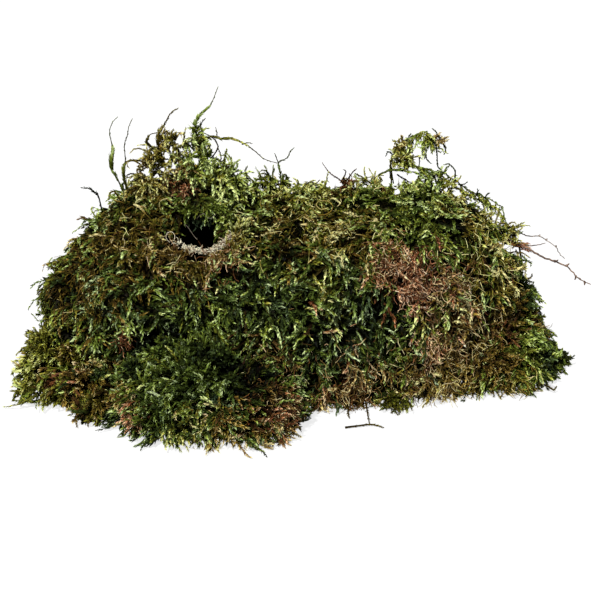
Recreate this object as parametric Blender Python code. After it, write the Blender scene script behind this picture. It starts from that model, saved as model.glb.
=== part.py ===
"""A loose clump of feather moss, lifted from the ground with its brown thatch.

Metres, +Z up. X runs along the clump, -Y is its front, and the origin is under its middle,
on the table that it rests on. Every moss solid is the outer form that the tips of its
shoots reach, and every strand is a single long shoot or stem that stands out of it.
"""

from collections import namedtuple
import math

import bmesh
import bpy
import numpy as np
from mathutils import Matrix, Vector, noise
from mathutils.bvhtree import BVHTree

for old in list(bpy.data.objects):
    bpy.data.objects.remove(old)

# Driving dimensions
MM = 0.001
CLEARANCE = 0.3 * MM  # left between pieces that lie against each other
LONGEST_REACH = 140 * MM  # no lobe lies further than this from its lump's heart
BLEND = 3.0 * MM  # how softly the lobes of one lump run together
TUFT_WIDTH = 12.5 * MM  # one tuft of shoots, as a dome on the surface
TUFT_DEPTH = 3.4 * MM  # from the top of a tuft to the crease beside it
TUFT_FLANK = 1.6  # how steeply a dome rises from its crease
TUFT_SINK = 0.6  # the share of its depth that a crease lies under the lobes
STEM_RADIUS = 0.5 * MM  # a long shoot with its leaves pressed to it, at its root
TIP_RADIUS = 0.2 * MM
CREASE_ANGLE = math.radians(50)

# One rounded swelling of a lump: centre and radii in millimetres, turn about Z in degrees
Lobe = namedtuple("Lobe", "centre radii turn", defaults=(0.0,))


def plant_material(name, colour):
    """Matt, as all of the plant is."""
    material = bpy.data.materials.new(name)
    material.use_nodes = True
    shader = material.node_tree.nodes["Principled BSDF"]
    shader.inputs["Base Color"].default_value = (*colour, 1.0)
    shader.inputs["Roughness"].default_value = 0.75
    shader.inputs["Metallic"].default_value = 0.0
    material.diffuse_color = (*colour, 1.0)
    return material


def show(name, data, material):
    """Puts mesh or curve data in the scene as one named object."""
    piece = bpy.data.objects.new(name, data)
    data.materials.append(material)
    bpy.context.scene.collection.objects.link(piece)
    return piece


def shade(data):
    data.shade_smooth()
    data.set_sharp_from_angle(angle=CREASE_ANGLE)


def distance_to_lobes(points, lobes):
    """About the distance to the lobes run together, negative inside them."""
    near = np.zeros(len(points))
    for lobe in lobes:
        turn = math.radians(lobe.turn)
        along = (math.cos(turn), math.sin(turn), 0.0)
        across = (-math.sin(turn), math.cos(turn), 0.0)
        axes = np.array([along, across, (0.0, 0.0, 1.0)]).T
        radii = np.array(lobe.radii) * MM
        offset = (points - np.array(lobe.centre) * MM) @ axes
        share = np.linalg.norm(offset / radii, axis=1)
        slope = np.linalg.norm(offset / radii**2, axis=1) + 1e-9
        near += np.exp(np.clip(-share * (share - 1) / slope / BLEND, -60, 60))
    return -BLEND * np.log(near + 1e-26)


def reach_of_lobes(heart, ways, lobes):
    """How far the lobes reach from the heart along each way, halved down to a hair."""
    steps = np.linspace(0.0, LONGEST_REACH, 141)
    inside = np.array([distance_to_lobes(heart + ways * step, lobes) < 0 for step in steps])
    last = len(steps) - 1 - np.argmax(inside[::-1], axis=0)
    low = steps[last]
    high = steps[np.minimum(last + 1, len(steps) - 1)]
    for _ in range(14):
        middle = (low + high) / 2
        within = distance_to_lobes(heart + ways * middle[:, None], lobes) < 0
        low, high = np.where(within, middle, low), np.where(within, high, middle)
    return low


def tuft_height(place):
    """How far the tuft at this place stands out: domes with creases between them."""
    nearest, second = noise.voronoi(place / TUFT_WIDTH)[0][:2]
    return TUFT_DEPTH * (min((second - nearest) * TUFT_FLANK, 1.0) - TUFT_SINK)


def lump(name, heart, stretch, lobes, fineness, material):
    """A closed moss form: a sphere pushed out from its heart to the lobes, flat where it rests."""
    heart = np.array(heart) * MM
    shape = bmesh.new()
    bmesh.ops.create_icosphere(shape, subdivisions=fineness, radius=1.0)
    ways = np.array([v.co for v in shape.verts]) * np.array(stretch)
    ways /= np.linalg.norm(ways, axis=1)[:, None]
    down = np.maximum(-ways[:, 2], 1e-6)
    to_table = np.where(ways[:, 2] < 0, heart[2] / down, np.inf)
    reach = np.minimum(reach_of_lobes(heart, ways, lobes), to_table)
    for vertex, way, far, table in zip(shape.verts, ways, reach, to_table):
        vertex.co = Vector(heart + way * far)
        vertex.tag = bool(far == table)

    # Tufts, which fade out towards the table
    shape.normal_update()
    heights = [tuft_height(v.co) * min(v.co.z / TUFT_DEPTH, 1.0) for v in shape.verts]
    moved = [v.co + v.normal * height for v, height in zip(shape.verts, heights)]
    for vertex, place in zip(shape.verts, moved):
        vertex.co = place
        vertex.co.z = 0.0 if vertex.tag else max(place.z, 0.2 * MM)
    resting = [v for v in shape.verts if v.tag]
    flat_edges = [e for e in shape.edges if e.verts[0].tag and e.verts[1].tag]
    if resting:
        bmesh.ops.dissolve_limit(shape, angle_limit=math.radians(0.5), verts=resting, edges=flat_edges)
    data = bpy.data.meshes.new(name)
    shape.to_mesh(data)
    shape.free()
    shade(data)
    return show(name, data, material)


def ellipsoid(name, centre, radii):
    """A plain form to cut with."""
    shape = bmesh.new()
    bmesh.ops.create_uvsphere(shape, u_segments=18, v_segments=10, radius=1.0)
    size = Matrix.Diagonal((*(radius * MM for radius in radii), 1.0))
    shape.transform(Matrix.Translation(Vector(centre) * MM) @ size)
    data = bpy.data.meshes.new(name)
    shape.to_mesh(data)
    shape.free()
    form = bpy.data.objects.new(name, data)
    bpy.context.scene.collection.objects.link(form)
    return form


def solid_copy(piece):
    """The piece's mesh with its modifiers in it."""
    now = bpy.context.evaluated_depsgraph_get()
    return bpy.data.meshes.new_from_object(piece.evaluated_get(now))


def keep_one_body(data):
    """Deletes the crumbs that a cut leaves beside the main body."""
    shape = bmesh.new()
    shape.from_mesh(data)
    unseen = set(shape.verts)
    bodies = []
    while unseen:
        body = [unseen.pop()]
        for vertex in body:
            joined = {edge.other_vert(vertex) for edge in vertex.link_edges} & unseen
            unseen -= joined
            body.extend(sorted(joined, key=lambda v: v.index))
        bodies.append(body)
    bodies.sort(key=len)
    crumbs = [vertex for body in bodies[:-1] for vertex in body]
    bmesh.ops.delete(shape, geom=crumbs, context="VERTS")
    shape.to_mesh(data)
    shape.free()


def cut_away(piece, tool):
    """Cuts the tool's form out of the piece, and hides the tool."""
    tool.hide_render = True
    tool.display_type = "WIRE"
    cut = piece.modifiers.new(tool.name, "BOOLEAN")
    cut.operation = "DIFFERENCE"
    cut.solver = "EXACT"
    cut.object = tool
    data = solid_copy(piece)
    piece.modifiers.remove(cut)
    keep_one_body(data)
    shade(data)
    piece.data = data


def make_room(piece, neighbours):
    """Cuts the piece back where its neighbours lie, so that it nestles against them."""
    for neighbour in neighbours:
        form = bpy.data.objects.new(f"{neighbour.name}_room_in_{piece.name}", solid_copy(neighbour))
        bpy.context.scene.collection.objects.link(form)
        swell = form.modifiers.new("clearance", "DISPLACE")
        swell.strength = 1.3 * CLEARANCE
        swell.mid_level = 0.0
        cut_away(piece, form)


# The mound: one folded mat of shoots, with its thatch turned under
MOUND_LOBES = (
    Lobe((-48, 4, 27), (38, 32, 32)),
    Lobe((-36, 14, 41), (38, 25, 26), -6),
    Lobe((-4, 2, 31), (46, 30, 32)),
    Lobe((10, 13, 41), (46, 23, 25)),
    Lobe((38, 9, 33), (40, 27, 34), 5),
    Lobe((16, 26, 18), (60, 24, 24)),
    Lobe((2, -5, 8), (32, 20, 22)),
    Lobe((36, -1, 7), (28, 18, 18)),
)
moss_green = plant_material("moss_green", (0.075, 0.085, 0.022))
mound = lump("moss_mound", (-2, 6, 22), (1.5, 0.9, 1.0), MOUND_LOBES, 5, moss_green)

# The dark hollow behind the mound's upper front lip
HOLLOW_CENTRE = (-29.0, -4.0, 55.0)
HOLLOW_RADII = (9.3, 8.0, 16.0)
cut_away(mound, ellipsoid("hollow_form", HOLLOW_CENTRE, HOLLOW_RADII))

# The rounded cushion that lies against the mound's foot, front left
CUSHION_LOBES = (
    Lobe((-36, -30, 7), (22, 19, 21)),
    Lobe((-17, -33, 4), (21, 17, 17)),
    Lobe((-48, -27, 4), (14, 14, 15)),
)
bright_green = plant_material("bright_green", (0.07, 0.10, 0.025))
cushion = lump("front_cushion", (-28, -32, 7), (1.4, 0.9, 1.0), CUSHION_LOBES, 4, bright_green)
make_room(cushion, [mound])

# The flatter lump spread on the table at the left end
LEFT_LOBES = (
    Lobe((-73, -9, 8), (20, 18, 16)),
    Lobe((-62, -21, 7), (18, 13, 13)),
)
olive_green = plant_material("olive_green", (0.095, 0.090, 0.022))
left_lump = lump("left_cushion", (-72, -16, 7), (1.1, 1.0, 1.0), LEFT_LOBES, 4, olive_green)
make_room(left_lump, [mound, cushion])

# The flat mat that sticks out from behind the mound's right end
FLAP_LOBES = (
    Lobe((71, 9, 6), (20, 22, 17)),
    Lobe((79, 25, 13), (10, 11, 13)),
    Lobe((88, 10, 2), (9, 9, 6)),
)
shade_green = plant_material("shade_green", (0.045, 0.060, 0.018))
flap = lump("right_flap", (77, 14, 6), (1.1, 1.1, 1.0), FLAP_LOBES, 4, shade_green)
make_room(flap, [mound])

# The tangles of long shoots that stand up along the mound's top
LEFT_CREST_LOBES = (
    Lobe((-44, 16, 69), (13, 8, 15)),
    Lobe((-31, 15, 68), (14, 8, 13)),
)
RIDGE_LOBES = (
    Lobe((-9, 14, 65), (15, 7, 8)),
    Lobe((12, 14, 61), (14, 7, 7)),
    Lobe((27, 13, 63), (9, 6, 8)),
)
RIGHT_CREST_LOBES = (
    Lobe((41, 14, 74), (8, 5, 11)),
    Lobe((50, 13, 64), (14, 7, 9)),
)
crest_green = plant_material("crest_green", (0.11, 0.12, 0.035))
left_crest = lump("left_crest", (-38, 16, 72), (1.3, 0.8, 1.0), LEFT_CREST_LOBES, 3, crest_green)
ridge = lump("ridge_crest", (6, 14, 66), (2.0, 0.8, 0.8), RIDGE_LOBES, 3, crest_green)
right_crest = lump("right_crest", (43, 14, 71), (1.0, 0.8, 1.2), RIGHT_CREST_LOBES, 3, crest_green)
make_room(left_crest, [mound])
make_room(ridge, [mound, left_crest])
make_room(right_crest, [mound, ridge])

lumps = (mound, cushion, left_lump, flap, left_crest, ridge, right_crest)
settled = bpy.context.evaluated_depsgraph_get()
surfaces = [BVHTree.FromObject(form, settled) for form in lumps]


def height_over(surface, place):
    """The distance from a lump's surface, negative inside it, where a way up crosses it oddly often."""
    up = Vector((0, 0, 1))
    crossings = 0
    hit = surface.ray_cast(place, up)[0]
    while hit is not None:
        crossings += 1
        hit = surface.ray_cast(hit + up * 0.001 * MM, up)[0]
    distance = surface.find_nearest(place)[3]
    return -distance if crossings % 2 else distance


def smooth_route(points, steps=6):
    """A Catmull-Rom curve through the points."""
    ends = [2 * points[0] - points[1], *points, 2 * points[-1] - points[-2]]
    route = []
    for before, start, end, after in zip(ends, ends[1:], ends[2:], ends[3:]):
        for step in range(steps):
            t = step / steps
            pull = (2 * before - 5 * start + 4 * end - after) * t**2
            swing = (3 * start - before - 3 * end + after) * t**3
            route.append((2 * start + (end - before) * t + pull + swing) / 2)
    return [*route, points[-1]]


def strand(name, points, material, swelling=(0.5, 0.1, 0.0)):
    """A long shoot through points in millimetres, from the lump that it grows out of to its tip.

    The swelling is where its leaves stand out: its place and its spread along the shoot, as
    shares of the length, and how many millimetres it adds to the radius.
    """
    route = smooth_route([Vector(point) * MM for point in points])
    heights = [min(height_over(surface, place) for surface in surfaces) for place in route]
    root_height = CLEARANCE + 0.7 * STEM_RADIUS
    buried = [i for i, height in enumerate(heights) if height < root_height]
    free = route[buried[-1] + 1 :]
    kept = [*free[:-1:3], free[-1]]
    curve = bpy.data.curves.new(name, "CURVE")
    curve.dimensions = "3D"
    curve.bevel_depth = 1.0
    curve.bevel_resolution = 1
    curve.use_fill_caps = True
    line = curve.splines.new("POLY")
    line.points.add(len(kept) - 1)
    middle, spread, leaves = swelling
    for i, (point, place) in enumerate(zip(line.points, kept)):
        along = i / (len(kept) - 1)
        leafy = leaves * MM * math.exp(-(((along - middle) / spread) ** 2))
        point.co = (*place, 1.0)
        point.radius = STEM_RADIUS + (TIP_RADIUS - STEM_RADIUS) * along + leafy
    return show(name, curve, material)


# The long shoots that stand out above the crests
strand(
    "tall_strand",
    [(-33, 15, 80), (-32.9, 16, 87.2), (-29.7, 18, 90.9), (-27.8, 19, 92.6), (-25.4, 21, 98.1)],
    crest_green,
    swelling=(0.25, 0.15, 0.8),
)
strand(
    "back_strand",
    [(-55, 12, 60), (-59.4, 13.8, 68.7), (-61.3, 15.2, 73.9), (-61.2, 16.8, 81), (-58.8, 19, 88.4)],
    crest_green,
    swelling=(0.4, 0.16, 0.7),
)
strand(
    "leaning_strand",
    [(-54, 11, 60), (-56.5, 8.9, 72.7), (-55.7, 7.7, 81.5), (-52.4, 6, 91.2)],
    crest_green,
)
strand(
    "arched_strand",
    [(-36, 14, 78), (-27.7, 13.2, 83.2), (-20.9, 11.8, 82.9), (-13.2, 10.2, 79.1), (-7.5, 8.8, 75.7)],
    crest_green,
)
strand(
    "forked_strand",
    [(-4.6, 13, 66), (-5.3, 13.4, 74.1), (-1.6, 13.8, 77.8), (-0.4, 14, 79.1)],
    crest_green,
)

# The bare reddish twig at the right end, and the thin runner over it
twig_brown = plant_material("twig_brown", (0.16, 0.085, 0.055))
strand(
    "right_twig",
    [(66, 12, 48), (79.7, 11.2, 44.3), (88.6, 9.5, 40.4), (95.1, 7.8, 36.1), (100, 6, 33.6)],
    twig_brown,
)
strand(
    "thin_runner",
    [(66, 15, 52), (76.7, 16.3, 48.6), (83.3, 16.9, 47.1), (89.3, 17.4, 43.2), (93, 18, 38.4)],
    twig_brown,
)

# Everything hangs from one empty, which brings the origin under the clump's middle
clump = bpy.data.objects.new("clump", None)
bpy.context.scene.collection.objects.link(clump)
shown = [piece for piece in bpy.context.scene.objects if piece.data and not piece.hide_render]
corners = np.array([v.co for piece in shown for v in solid_copy(piece).vertices])
middle = (corners.min(axis=0) + corners.max(axis=0)) / 2
clump.location = (-middle[0], -middle[1], 0.0)
for piece in shown:
    piece.parent = clump
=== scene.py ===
from collections import namedtuple
import math

import bmesh
import bpy
import numpy as np
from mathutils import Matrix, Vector
from mathutils.bvhtree import BVHTree
from mathutils.kdtree import KDTree


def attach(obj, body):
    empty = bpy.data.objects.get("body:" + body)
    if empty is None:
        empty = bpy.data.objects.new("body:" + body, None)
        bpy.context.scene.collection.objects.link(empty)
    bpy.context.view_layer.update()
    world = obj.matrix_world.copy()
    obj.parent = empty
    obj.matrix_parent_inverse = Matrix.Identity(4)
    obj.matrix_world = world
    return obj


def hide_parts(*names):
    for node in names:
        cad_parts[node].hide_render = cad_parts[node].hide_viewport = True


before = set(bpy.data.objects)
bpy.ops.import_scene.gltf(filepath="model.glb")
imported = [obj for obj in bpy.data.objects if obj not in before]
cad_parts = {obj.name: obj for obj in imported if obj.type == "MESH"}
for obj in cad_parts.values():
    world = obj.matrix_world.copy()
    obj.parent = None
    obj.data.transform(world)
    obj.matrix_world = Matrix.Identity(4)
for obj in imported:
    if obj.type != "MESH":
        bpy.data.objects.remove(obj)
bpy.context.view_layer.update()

# The mound
# The main mat of leafy shoots, folded over with its brown thatch turned inside. Each shoot is a
# thin stem with pointed leaves set round it in a spiral, and the shoots lie in locks that hang
# down the fold's front and back.
MM = 0.001
LEAF_TURN = math.radians(137.5)  # from one leaf to the next, round the stem
LEAF_WIDTH = 0.6  # of its own length
TABLE_GAP = 0.1  # the lowest leaves stay this far over the table, in millimetres

# The colour scale that every shoot takes its hue from. A hue given as a number lies between two.
BLUE_GREEN, DEEP_GREEN, FRESH_GREEN, YELLOW_GREEN = 0.03, 0.15, 0.30, 0.44
OLIVE, GOLDEN, THATCH, RUST, FAWN, STRAW = 0.56, 0.67, 0.77, 0.86, 0.93, 0.98
LEAF_COLOURS = (
    (BLUE_GREEN, (92, 114, 78)),
    (DEEP_GREEN, (104, 127, 56)),
    (FRESH_GREEN, (144, 168, 60)),
    (YELLOW_GREEN, (174, 174, 58)),
    (OLIVE, (155, 140, 50)),
    (GOLDEN, (182, 146, 56)),
    (THATCH, (146, 118, 62)),
    (RUST, (187, 111, 66)),
    (FAWN, (207, 144, 104)),
    (STRAW, (242, 232, 204)),
)
# The palest leaves mix towards this colour: partly dry leaf tips, partly a painted highlight
PALE_TIP_AND_HIGHLIGHT = (176, 182, 148)
PALE_FROM, PALE_SHARE = 0.6, 0.6  # leaves lighter than the first turn pale, by the second at most
LIGHT_FALL = 1.95  # the power by which a shoot darkens as its lightness goes down
LEAF_SHEEN = 0.04
MOTTLE_SCALE = 70.0  # of the small changes of hue and gloss along a shoot
HUE_DRIFT, GLOSS_DRIFT = 0.05, 0.12  # either way
RIB_HEIGHT = 0.2 * MM

# A growth is a mesh with the hue and lightness of each point, and a form is a solid's surface.
# Patches of tone and pits in the moss are round places on a form.
Growth = namedtuple("Growth", "points faces tones")
Form = namedtuple("Form", "points faces outward")
Patch = namedtuple("Patch", "centre radius hue light share")
Pit = namedtuple("Pit", "centre radius depth")


def linear(colour):
    """A colour as the eye reads it, 0 to 255, to the shader's linear values."""
    parts = [part / 255 for part in colour]
    return (*(p / 12.92 if p < 0.04045 else ((p + 0.055) / 1.055) ** 2.4 for p in parts), 1.0)


def unit(vectors):
    """The vectors at a length of one."""
    return vectors / np.maximum(np.linalg.norm(vectors, axis=-1, keepdims=True), 1e-9)


def moss_finish(name, roughness, sheen=LEAF_SHEEN):
    """Matt leaf green to brown: hue runs along U and lightness, painted light and shade included, along V
    of each leaf's map. The lightest leaves turn pale, partly for dry tips and partly as a painted
    highlight.
    """
    material = bpy.data.materials.new(name)
    material.use_nodes = True
    nodes, links = material.node_tree.nodes, material.node_tree.links
    shader = nodes["Principled BSDF"]
    shader.inputs["Specular IOR Level"].default_value = sheen
    where = nodes.new("ShaderNodeUVMap")
    where.uv_map = "OFBake"
    mottle = nodes.new("ShaderNodeTexNoise")
    mottle.inputs["Scale"].default_value = MOTTLE_SCALE
    mottle.inputs["Detail"].default_value = 3.0
    links.new(where.outputs["UV"], mottle.inputs["Vector"])
    split = nodes.new("ShaderNodeSeparateXYZ")
    links.new(where.outputs["UV"], split.inputs["Vector"])

    drift = nodes.new("ShaderNodeMapRange")
    drift.inputs["To Min"].default_value = -HUE_DRIFT
    drift.inputs["To Max"].default_value = HUE_DRIFT
    links.new(mottle.outputs["Fac"], drift.inputs["Value"])
    hue = nodes.new("ShaderNodeMath")
    links.new(split.outputs["X"], hue.inputs[0])
    links.new(drift.outputs["Result"], hue.inputs[1])
    scale = nodes.new("ShaderNodeValToRGB")
    links.new(hue.outputs["Value"], scale.inputs["Fac"])
    stops = scale.color_ramp.elements
    stops[0].position, stops[0].color = LEAF_COLOURS[0][0], linear(LEAF_COLOURS[0][1])
    stops[1].position, stops[1].color = LEAF_COLOURS[-1][0], linear(LEAF_COLOURS[-1][1])
    for place, colour in LEAF_COLOURS[1:-1]:
        stops.new(place).color = linear(colour)

    light = nodes.new("ShaderNodeMath")
    light.operation = "POWER"
    light.inputs[1].default_value = LIGHT_FALL
    links.new(split.outputs["Y"], light.inputs[0])
    shaded = nodes.new("ShaderNodeVectorMath")
    shaded.operation = "SCALE"
    links.new(scale.outputs["Color"], shaded.inputs[0])
    links.new(light.outputs["Value"], shaded.inputs["Scale"])
    paleness = nodes.new("ShaderNodeMapRange")
    paleness.inputs["From Min"].default_value = PALE_FROM
    paleness.inputs["To Max"].default_value = PALE_SHARE
    links.new(split.outputs["Y"], paleness.inputs["Value"])
    tip_and_highlight_mix = nodes.new("ShaderNodeMix")
    tip_and_highlight_mix.data_type = "RGBA"
    tip_and_highlight_mix.inputs["B"].default_value = linear(PALE_TIP_AND_HIGHLIGHT)
    links.new(paleness.outputs["Result"], tip_and_highlight_mix.inputs["Factor"])
    links.new(shaded.outputs["Vector"], tip_and_highlight_mix.inputs["A"])
    links.new(tip_and_highlight_mix.outputs["Result"], shader.inputs["Base Color"])

    gloss = nodes.new("ShaderNodeMapRange")
    gloss.inputs["To Min"].default_value = roughness + GLOSS_DRIFT
    gloss.inputs["To Max"].default_value = roughness - GLOSS_DRIFT
    links.new(mottle.outputs["Fac"], gloss.inputs["Value"])
    links.new(gloss.outputs["Result"], shader.inputs["Roughness"])
    ribs = nodes.new("ShaderNodeBump")
    ribs.inputs["Strength"].default_value = 0.25
    ribs.inputs["Distance"].default_value = RIB_HEIGHT
    links.new(mottle.outputs["Fac"], ribs.inputs["Height"])
    links.new(ribs.outputs["Normal"], shader.inputs["Normal"])
    return material


def read_out(shape):
    """A shape's points, its triangles and the way out of it at each point."""
    bmesh.ops.triangulate(shape, faces=shape.faces)
    shape.normal_update()
    shape.verts.index_update()
    points = np.array([v.co for v in shape.verts])
    outward = np.array([v.normal for v in shape.verts])
    faces = np.array([[v.index for v in face.verts] for face in shape.faces])
    shape.free()
    return Form(points, faces, outward)


def form_of(node):
    """A solid's surface in millimetres."""
    shape = bmesh.new()
    shape.from_mesh(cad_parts[node].data)
    bmesh.ops.remove_doubles(shape, verts=shape.verts, dist=0.001 * MM)
    form = read_out(shape)
    return form._replace(points=form.points / MM)


LUMPS = ("moss_mound", "front_cushion", "left_cushion", "right_flap")
# Where the shoots lie lower than the solid's surface
DENTS = (
    Pit((90, 10, 9), 11.0, 4.5),
    Pit((84, 16, 17), 6.0, 2.0),
    Pit((-83, -28, 3), 11.0, 6.0),
    Pit((-60, -40, 3), 7.0, 3.0),
    Pit((0, -40, 3), 8.0, 3.0),
    Pit((-76, 5, 52), 8.0, 2.5),
    Pit((62, 10, 58), 10.0, 4.0),
    Pit((46, 12, 66), 8.0, 1.0),
    Pit((4, 10, 68), 10.0, 2.0),
)
DENTED_DOWN_FROM = 40  # lower dents press in less and less downwards


def far_from(places, spot):
    """How far each place is from a spot's centre, with 1 at its radius."""
    return np.linalg.norm(places - np.array(spot.centre), axis=1) / spot.radius


def dented(form):
    """The form pressed in at the dents, more sideways than down."""
    points = form.points.copy()
    for dent in DENTS:
        inward = dent.depth * np.exp(-(far_from(form.points, dent) ** 2))[:, None] * form.outward
        inward[:, 2] *= np.clip(form.points[:, 2] / DENTED_DOWN_FROM, 0, 1)
        points -= inward
    return form._replace(points=points)


forms = {node: dented(form_of(node)) for node in LUMPS}
surfaces = {
    node: BVHTree.FromPolygons(form.points.tolist(), form.faces.tolist())
    for node, form in forms.items()
}


def within(surface, place):
    """Whether a place is inside a closed surface, which a line up from there crosses an odd number
    of times."""
    up = Vector((0, 0, 1))
    crossings = 0
    hit = surface.ray_cast(Vector(place), up)[0]
    while hit is not None:
        crossings += 1
        hit = surface.ray_cast(hit + 0.001 * up, up)[0]
    return crossings % 2 == 1


def those(kept, rows):
    """The rows with only their kept ones."""
    return rows._make(row[kept] for row in rows)


Spots = namedtuple("Spots", "places outward")
FOOT = 1.2  # no shoot is rooted lower
UNDERSIDE = -0.8  # or where the surface faces down this steeply
ROOM = 0.4  # nor where another lump is this close


def spots_on(node, per_square, rng):
    """Random places over a solid where moss shows, and the way out of it there."""
    form = forms[node]
    corners = form.points[form.faces]
    sides = corners[:, 1:] - corners[:, :1]
    area = np.linalg.norm(np.cross(sides[:, 0], sides[:, 1]), axis=1) / 2
    count = int(area.sum() * per_square)
    face = rng.choice(len(area), count, p=area / area.sum())
    a, b = rng.random((2, count))
    over = a + b > 1
    a[over], b[over] = 1 - a[over], 1 - b[over]  # folded back over the triangle's third side
    shares = np.stack([1 - a - b, a, b], axis=1)[:, :, None]
    places = (corners[face] * shares).sum(axis=1)
    outward = unit((form.outward[form.faces[face]] * shares).sum(axis=1))
    open_air = (places[:, 2] > FOOT) & (outward[:, 2] > UNDERSIDE)
    spots = those(open_air, Spots(places, outward))
    for other in LUMPS:
        if other != node:
            hidden = [within(surfaces[other], place) for place in spots.places + ROOM * spots.outward]
            spots = those(~np.array(hidden), spots)
    return spots


def tree_of(places):
    """A tree of the places, which finds those near a point."""
    tree = KDTree(len(places))
    for i, place in enumerate(places):
        tree.insert(place, i)
    tree.balance()
    return tree


def locks_of(places, per_square, width, rng):
    """Sorts the places into locks of about this width: each lock's middle, and each place's lock."""
    count = max(int(len(places) / per_square / width**2), 1)
    middles = places[rng.choice(len(places), count, replace=False)]
    tree = tree_of(middles)
    return middles, np.array([tree.find(place)[1] for place in places])


def parted(places, per_square, spacing, radius, rng):
    """Which places stand outside the small random gaps where the coat parts and shows its dark."""
    count = int(len(places) / per_square / spacing**2)
    tree = tree_of(places)
    stands = np.ones(len(places), bool)
    for middle in places[rng.choice(len(places), count, replace=False)]:
        for _, i, _ in tree.find_range(middle, radius * rng.uniform(0.5, 1.3)):
            stands[i] = False
    return stands


def combed(outward, way, turn):
    """The way along the surface that the shoots lie, turned by an angle each."""
    along = unit(way - (way * outward).sum(axis=1, keepdims=True) * outward)
    across = np.cross(outward, along)
    return np.cos(turn)[:, None] * along + np.sin(turn)[:, None] * across


def bent(root, bend, tip, knots):
    """Curved lines from root to tip, pulled towards the bend."""
    t = np.linspace(0, 1, knots)[None, :, None]
    return (1 - t) ** 2 * root[:, None] + 2 * t * (1 - t) * bend[:, None] + t**2 * tip[:, None]


def varied(hue, light, count, hue_spread, light_spread, rng):
    """A hue and a lightness for each of some shoots, spread round one hue and one lightness."""
    hues = hue + rng.normal(0, hue_spread, count)
    lights = light * np.exp(rng.normal(0, light_spread, count))
    return hues, lights


COAT_HUES, COAT_LIGHTS, PATCH_HUES = 0.05, 0.33, 0.035  # how widely tones spread in a coat


def toned(places, hue, light, patches, rng):
    """Each shoot's hue and lightness, with patches that some of the shoots near them take."""
    hues, lights = varied(hue, light, len(places), COAT_HUES, COAT_LIGHTS, rng)
    for patch in patches:
        taken = rng.random(len(places)) < patch.share * np.exp(-(far_from(places, patch) ** 2))
        hues[taken] = patch.hue + rng.normal(0, PATCH_HUES, len(places))[taken]
        lights[taken] *= patch.light
    return hues, lights


# Openings in the tangle along the mound's top, where light falls through from behind: each one's
# place along the mound, height and radius
GAPS = (
    (-51.2, 82.5, 1.8), (-48.7, 81.1, 1.0), (-46.0, 76.6, 1.0), (-46.0, 74.6, 1.0), (-44.3, 78.7, 0.9),
    (-37.3, 79.0, 1.0), (-36.6, 74.6, 0.9), (-50.0, 69.4, 1.0), (-52.7, 70.4, 1.0), (-43.7, 72.1, 1.0),
    (-56.7, 73.2, 1.1), (-57.5, 70.5, 1.3), (-42.0, 81.5, 1.0), (-47.8, 72.0, 0.9), (-54.8, 76.5, 0.9),
    (-8.3, 69.0, 0.8), (-4.1, 66.2, 0.8), (-1.6, 66.3, 0.7), (10.6, 66.1, 0.8), (16.3, 65.3, 0.8),
    (20.0, 66.1, 0.8), (27.3, 68.2, 1.4), (27.0, 66.4, 1.1), (30.9, 63.3, 1.1),
    (36.4, 78.4, 0.7), (33.5, 79.0, 0.5), (37.0, 75.0, 1.0), (42.3, 78.6, 0.9), (42.4, 75.8, 1.1),
    (42.2, 73.0, 1.0), (30.2, 68.6, 1.5), (33.0, 69.5, 0.9), (35.0, 69.8, 0.8), (37.0, 69.9, 0.7),
    (28.4, 67.0, 1.0), (33.6, 66.6, 0.6), (30.6, 63.2, 1.1), (42.8, 63.5, 1.0), (43.1, 66.5, 0.6),
    (46.6, 66.8, 0.6), (50.5, 63.2, 1.0), (48.1, 70.1, 0.8), (55.2, 62.7, 0.8),
    (56.0, 60.6, 1.0), (58.5, 59.8, 0.9), (61.5, 57.3, 0.9), (63.5, 55.6, 1.0), (65.0, 53.6, 0.8),
    (62.8, 52.8, 0.5),
)
# The slot between the mound's right end and its frayed upper edge
END_GAPS = ((65.2, 46.0, 1.4), (67.4, 44.8, 1.9), (69.4, 43.6, 1.3), (61.5, 41.8, 0.7))
CREST_MIDDLE, GAP_FALL = 14, 0.4  # how far back the crests stand, and how a gap's way falls behind


def open_to_light(places, gaps):
    """Which places lie in a gap. The gaps run back through the tangle and down."""
    level = places[..., 2] + GAP_FALL * (places[..., 1] - CREST_MIDDLE)
    inside = np.zeros(places.shape[:-1], bool)
    for x, z, radius in gaps:
        inside |= np.hypot(places[..., 0] - x, level - z) < radius
    return inside


SKEW = (0.31, 0.17, 0.93)  # a way that no stem runs in, to set its sides by
ROOT_LIGHT, END_LIGHT = 0.45, 0.85  # a stem's lightness at its root and its end, as shares


def stems(lines, hues, lights, root_radius, tip_radius, sides=3):
    """Round stems along the lines, with how each point looks ahead and to its sides."""
    count, knots = lines.shape[:2]
    ahead = unit(np.gradient(lines, axis=1))
    other = unit(np.roll(lines[:, :1], 1, axis=0) - lines[:, :1] + np.array(SKEW))
    side = unit(np.cross(ahead, other))
    up = np.cross(ahead, side)
    radius = np.linspace(root_radius, tip_radius, knots)[None, :, None]
    ring = [math.tau * corner / sides for corner in range(sides)]
    around = [lines + radius * (math.cos(a) * side + math.sin(a) * up) for a in ring]
    points = np.stack(around, axis=2).reshape(-1, 3)
    start = (np.arange(count)[:, None] * knots + np.arange(knots - 1))[:, :, None] * sides
    here = start + np.arange(sides)
    beside = start + (np.arange(sides) + 1) % sides
    quads = np.stack([here, beside, beside + sides, here + sides], axis=-1).reshape(-1, 4)
    faces = np.concatenate([quads[:, [0, 1, 2]], quads[:, [0, 2, 3]]])
    share = np.linspace(ROOT_LIGHT, END_LIGHT, knots)[None, :] * lights[:, None]
    tones = np.stack([np.repeat(hues[:, None], knots, axis=1), share], axis=-1)
    return Growth(points, faces, np.repeat(tones.reshape(-1, 2), sides, axis=0)), (ahead, side, up)


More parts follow.
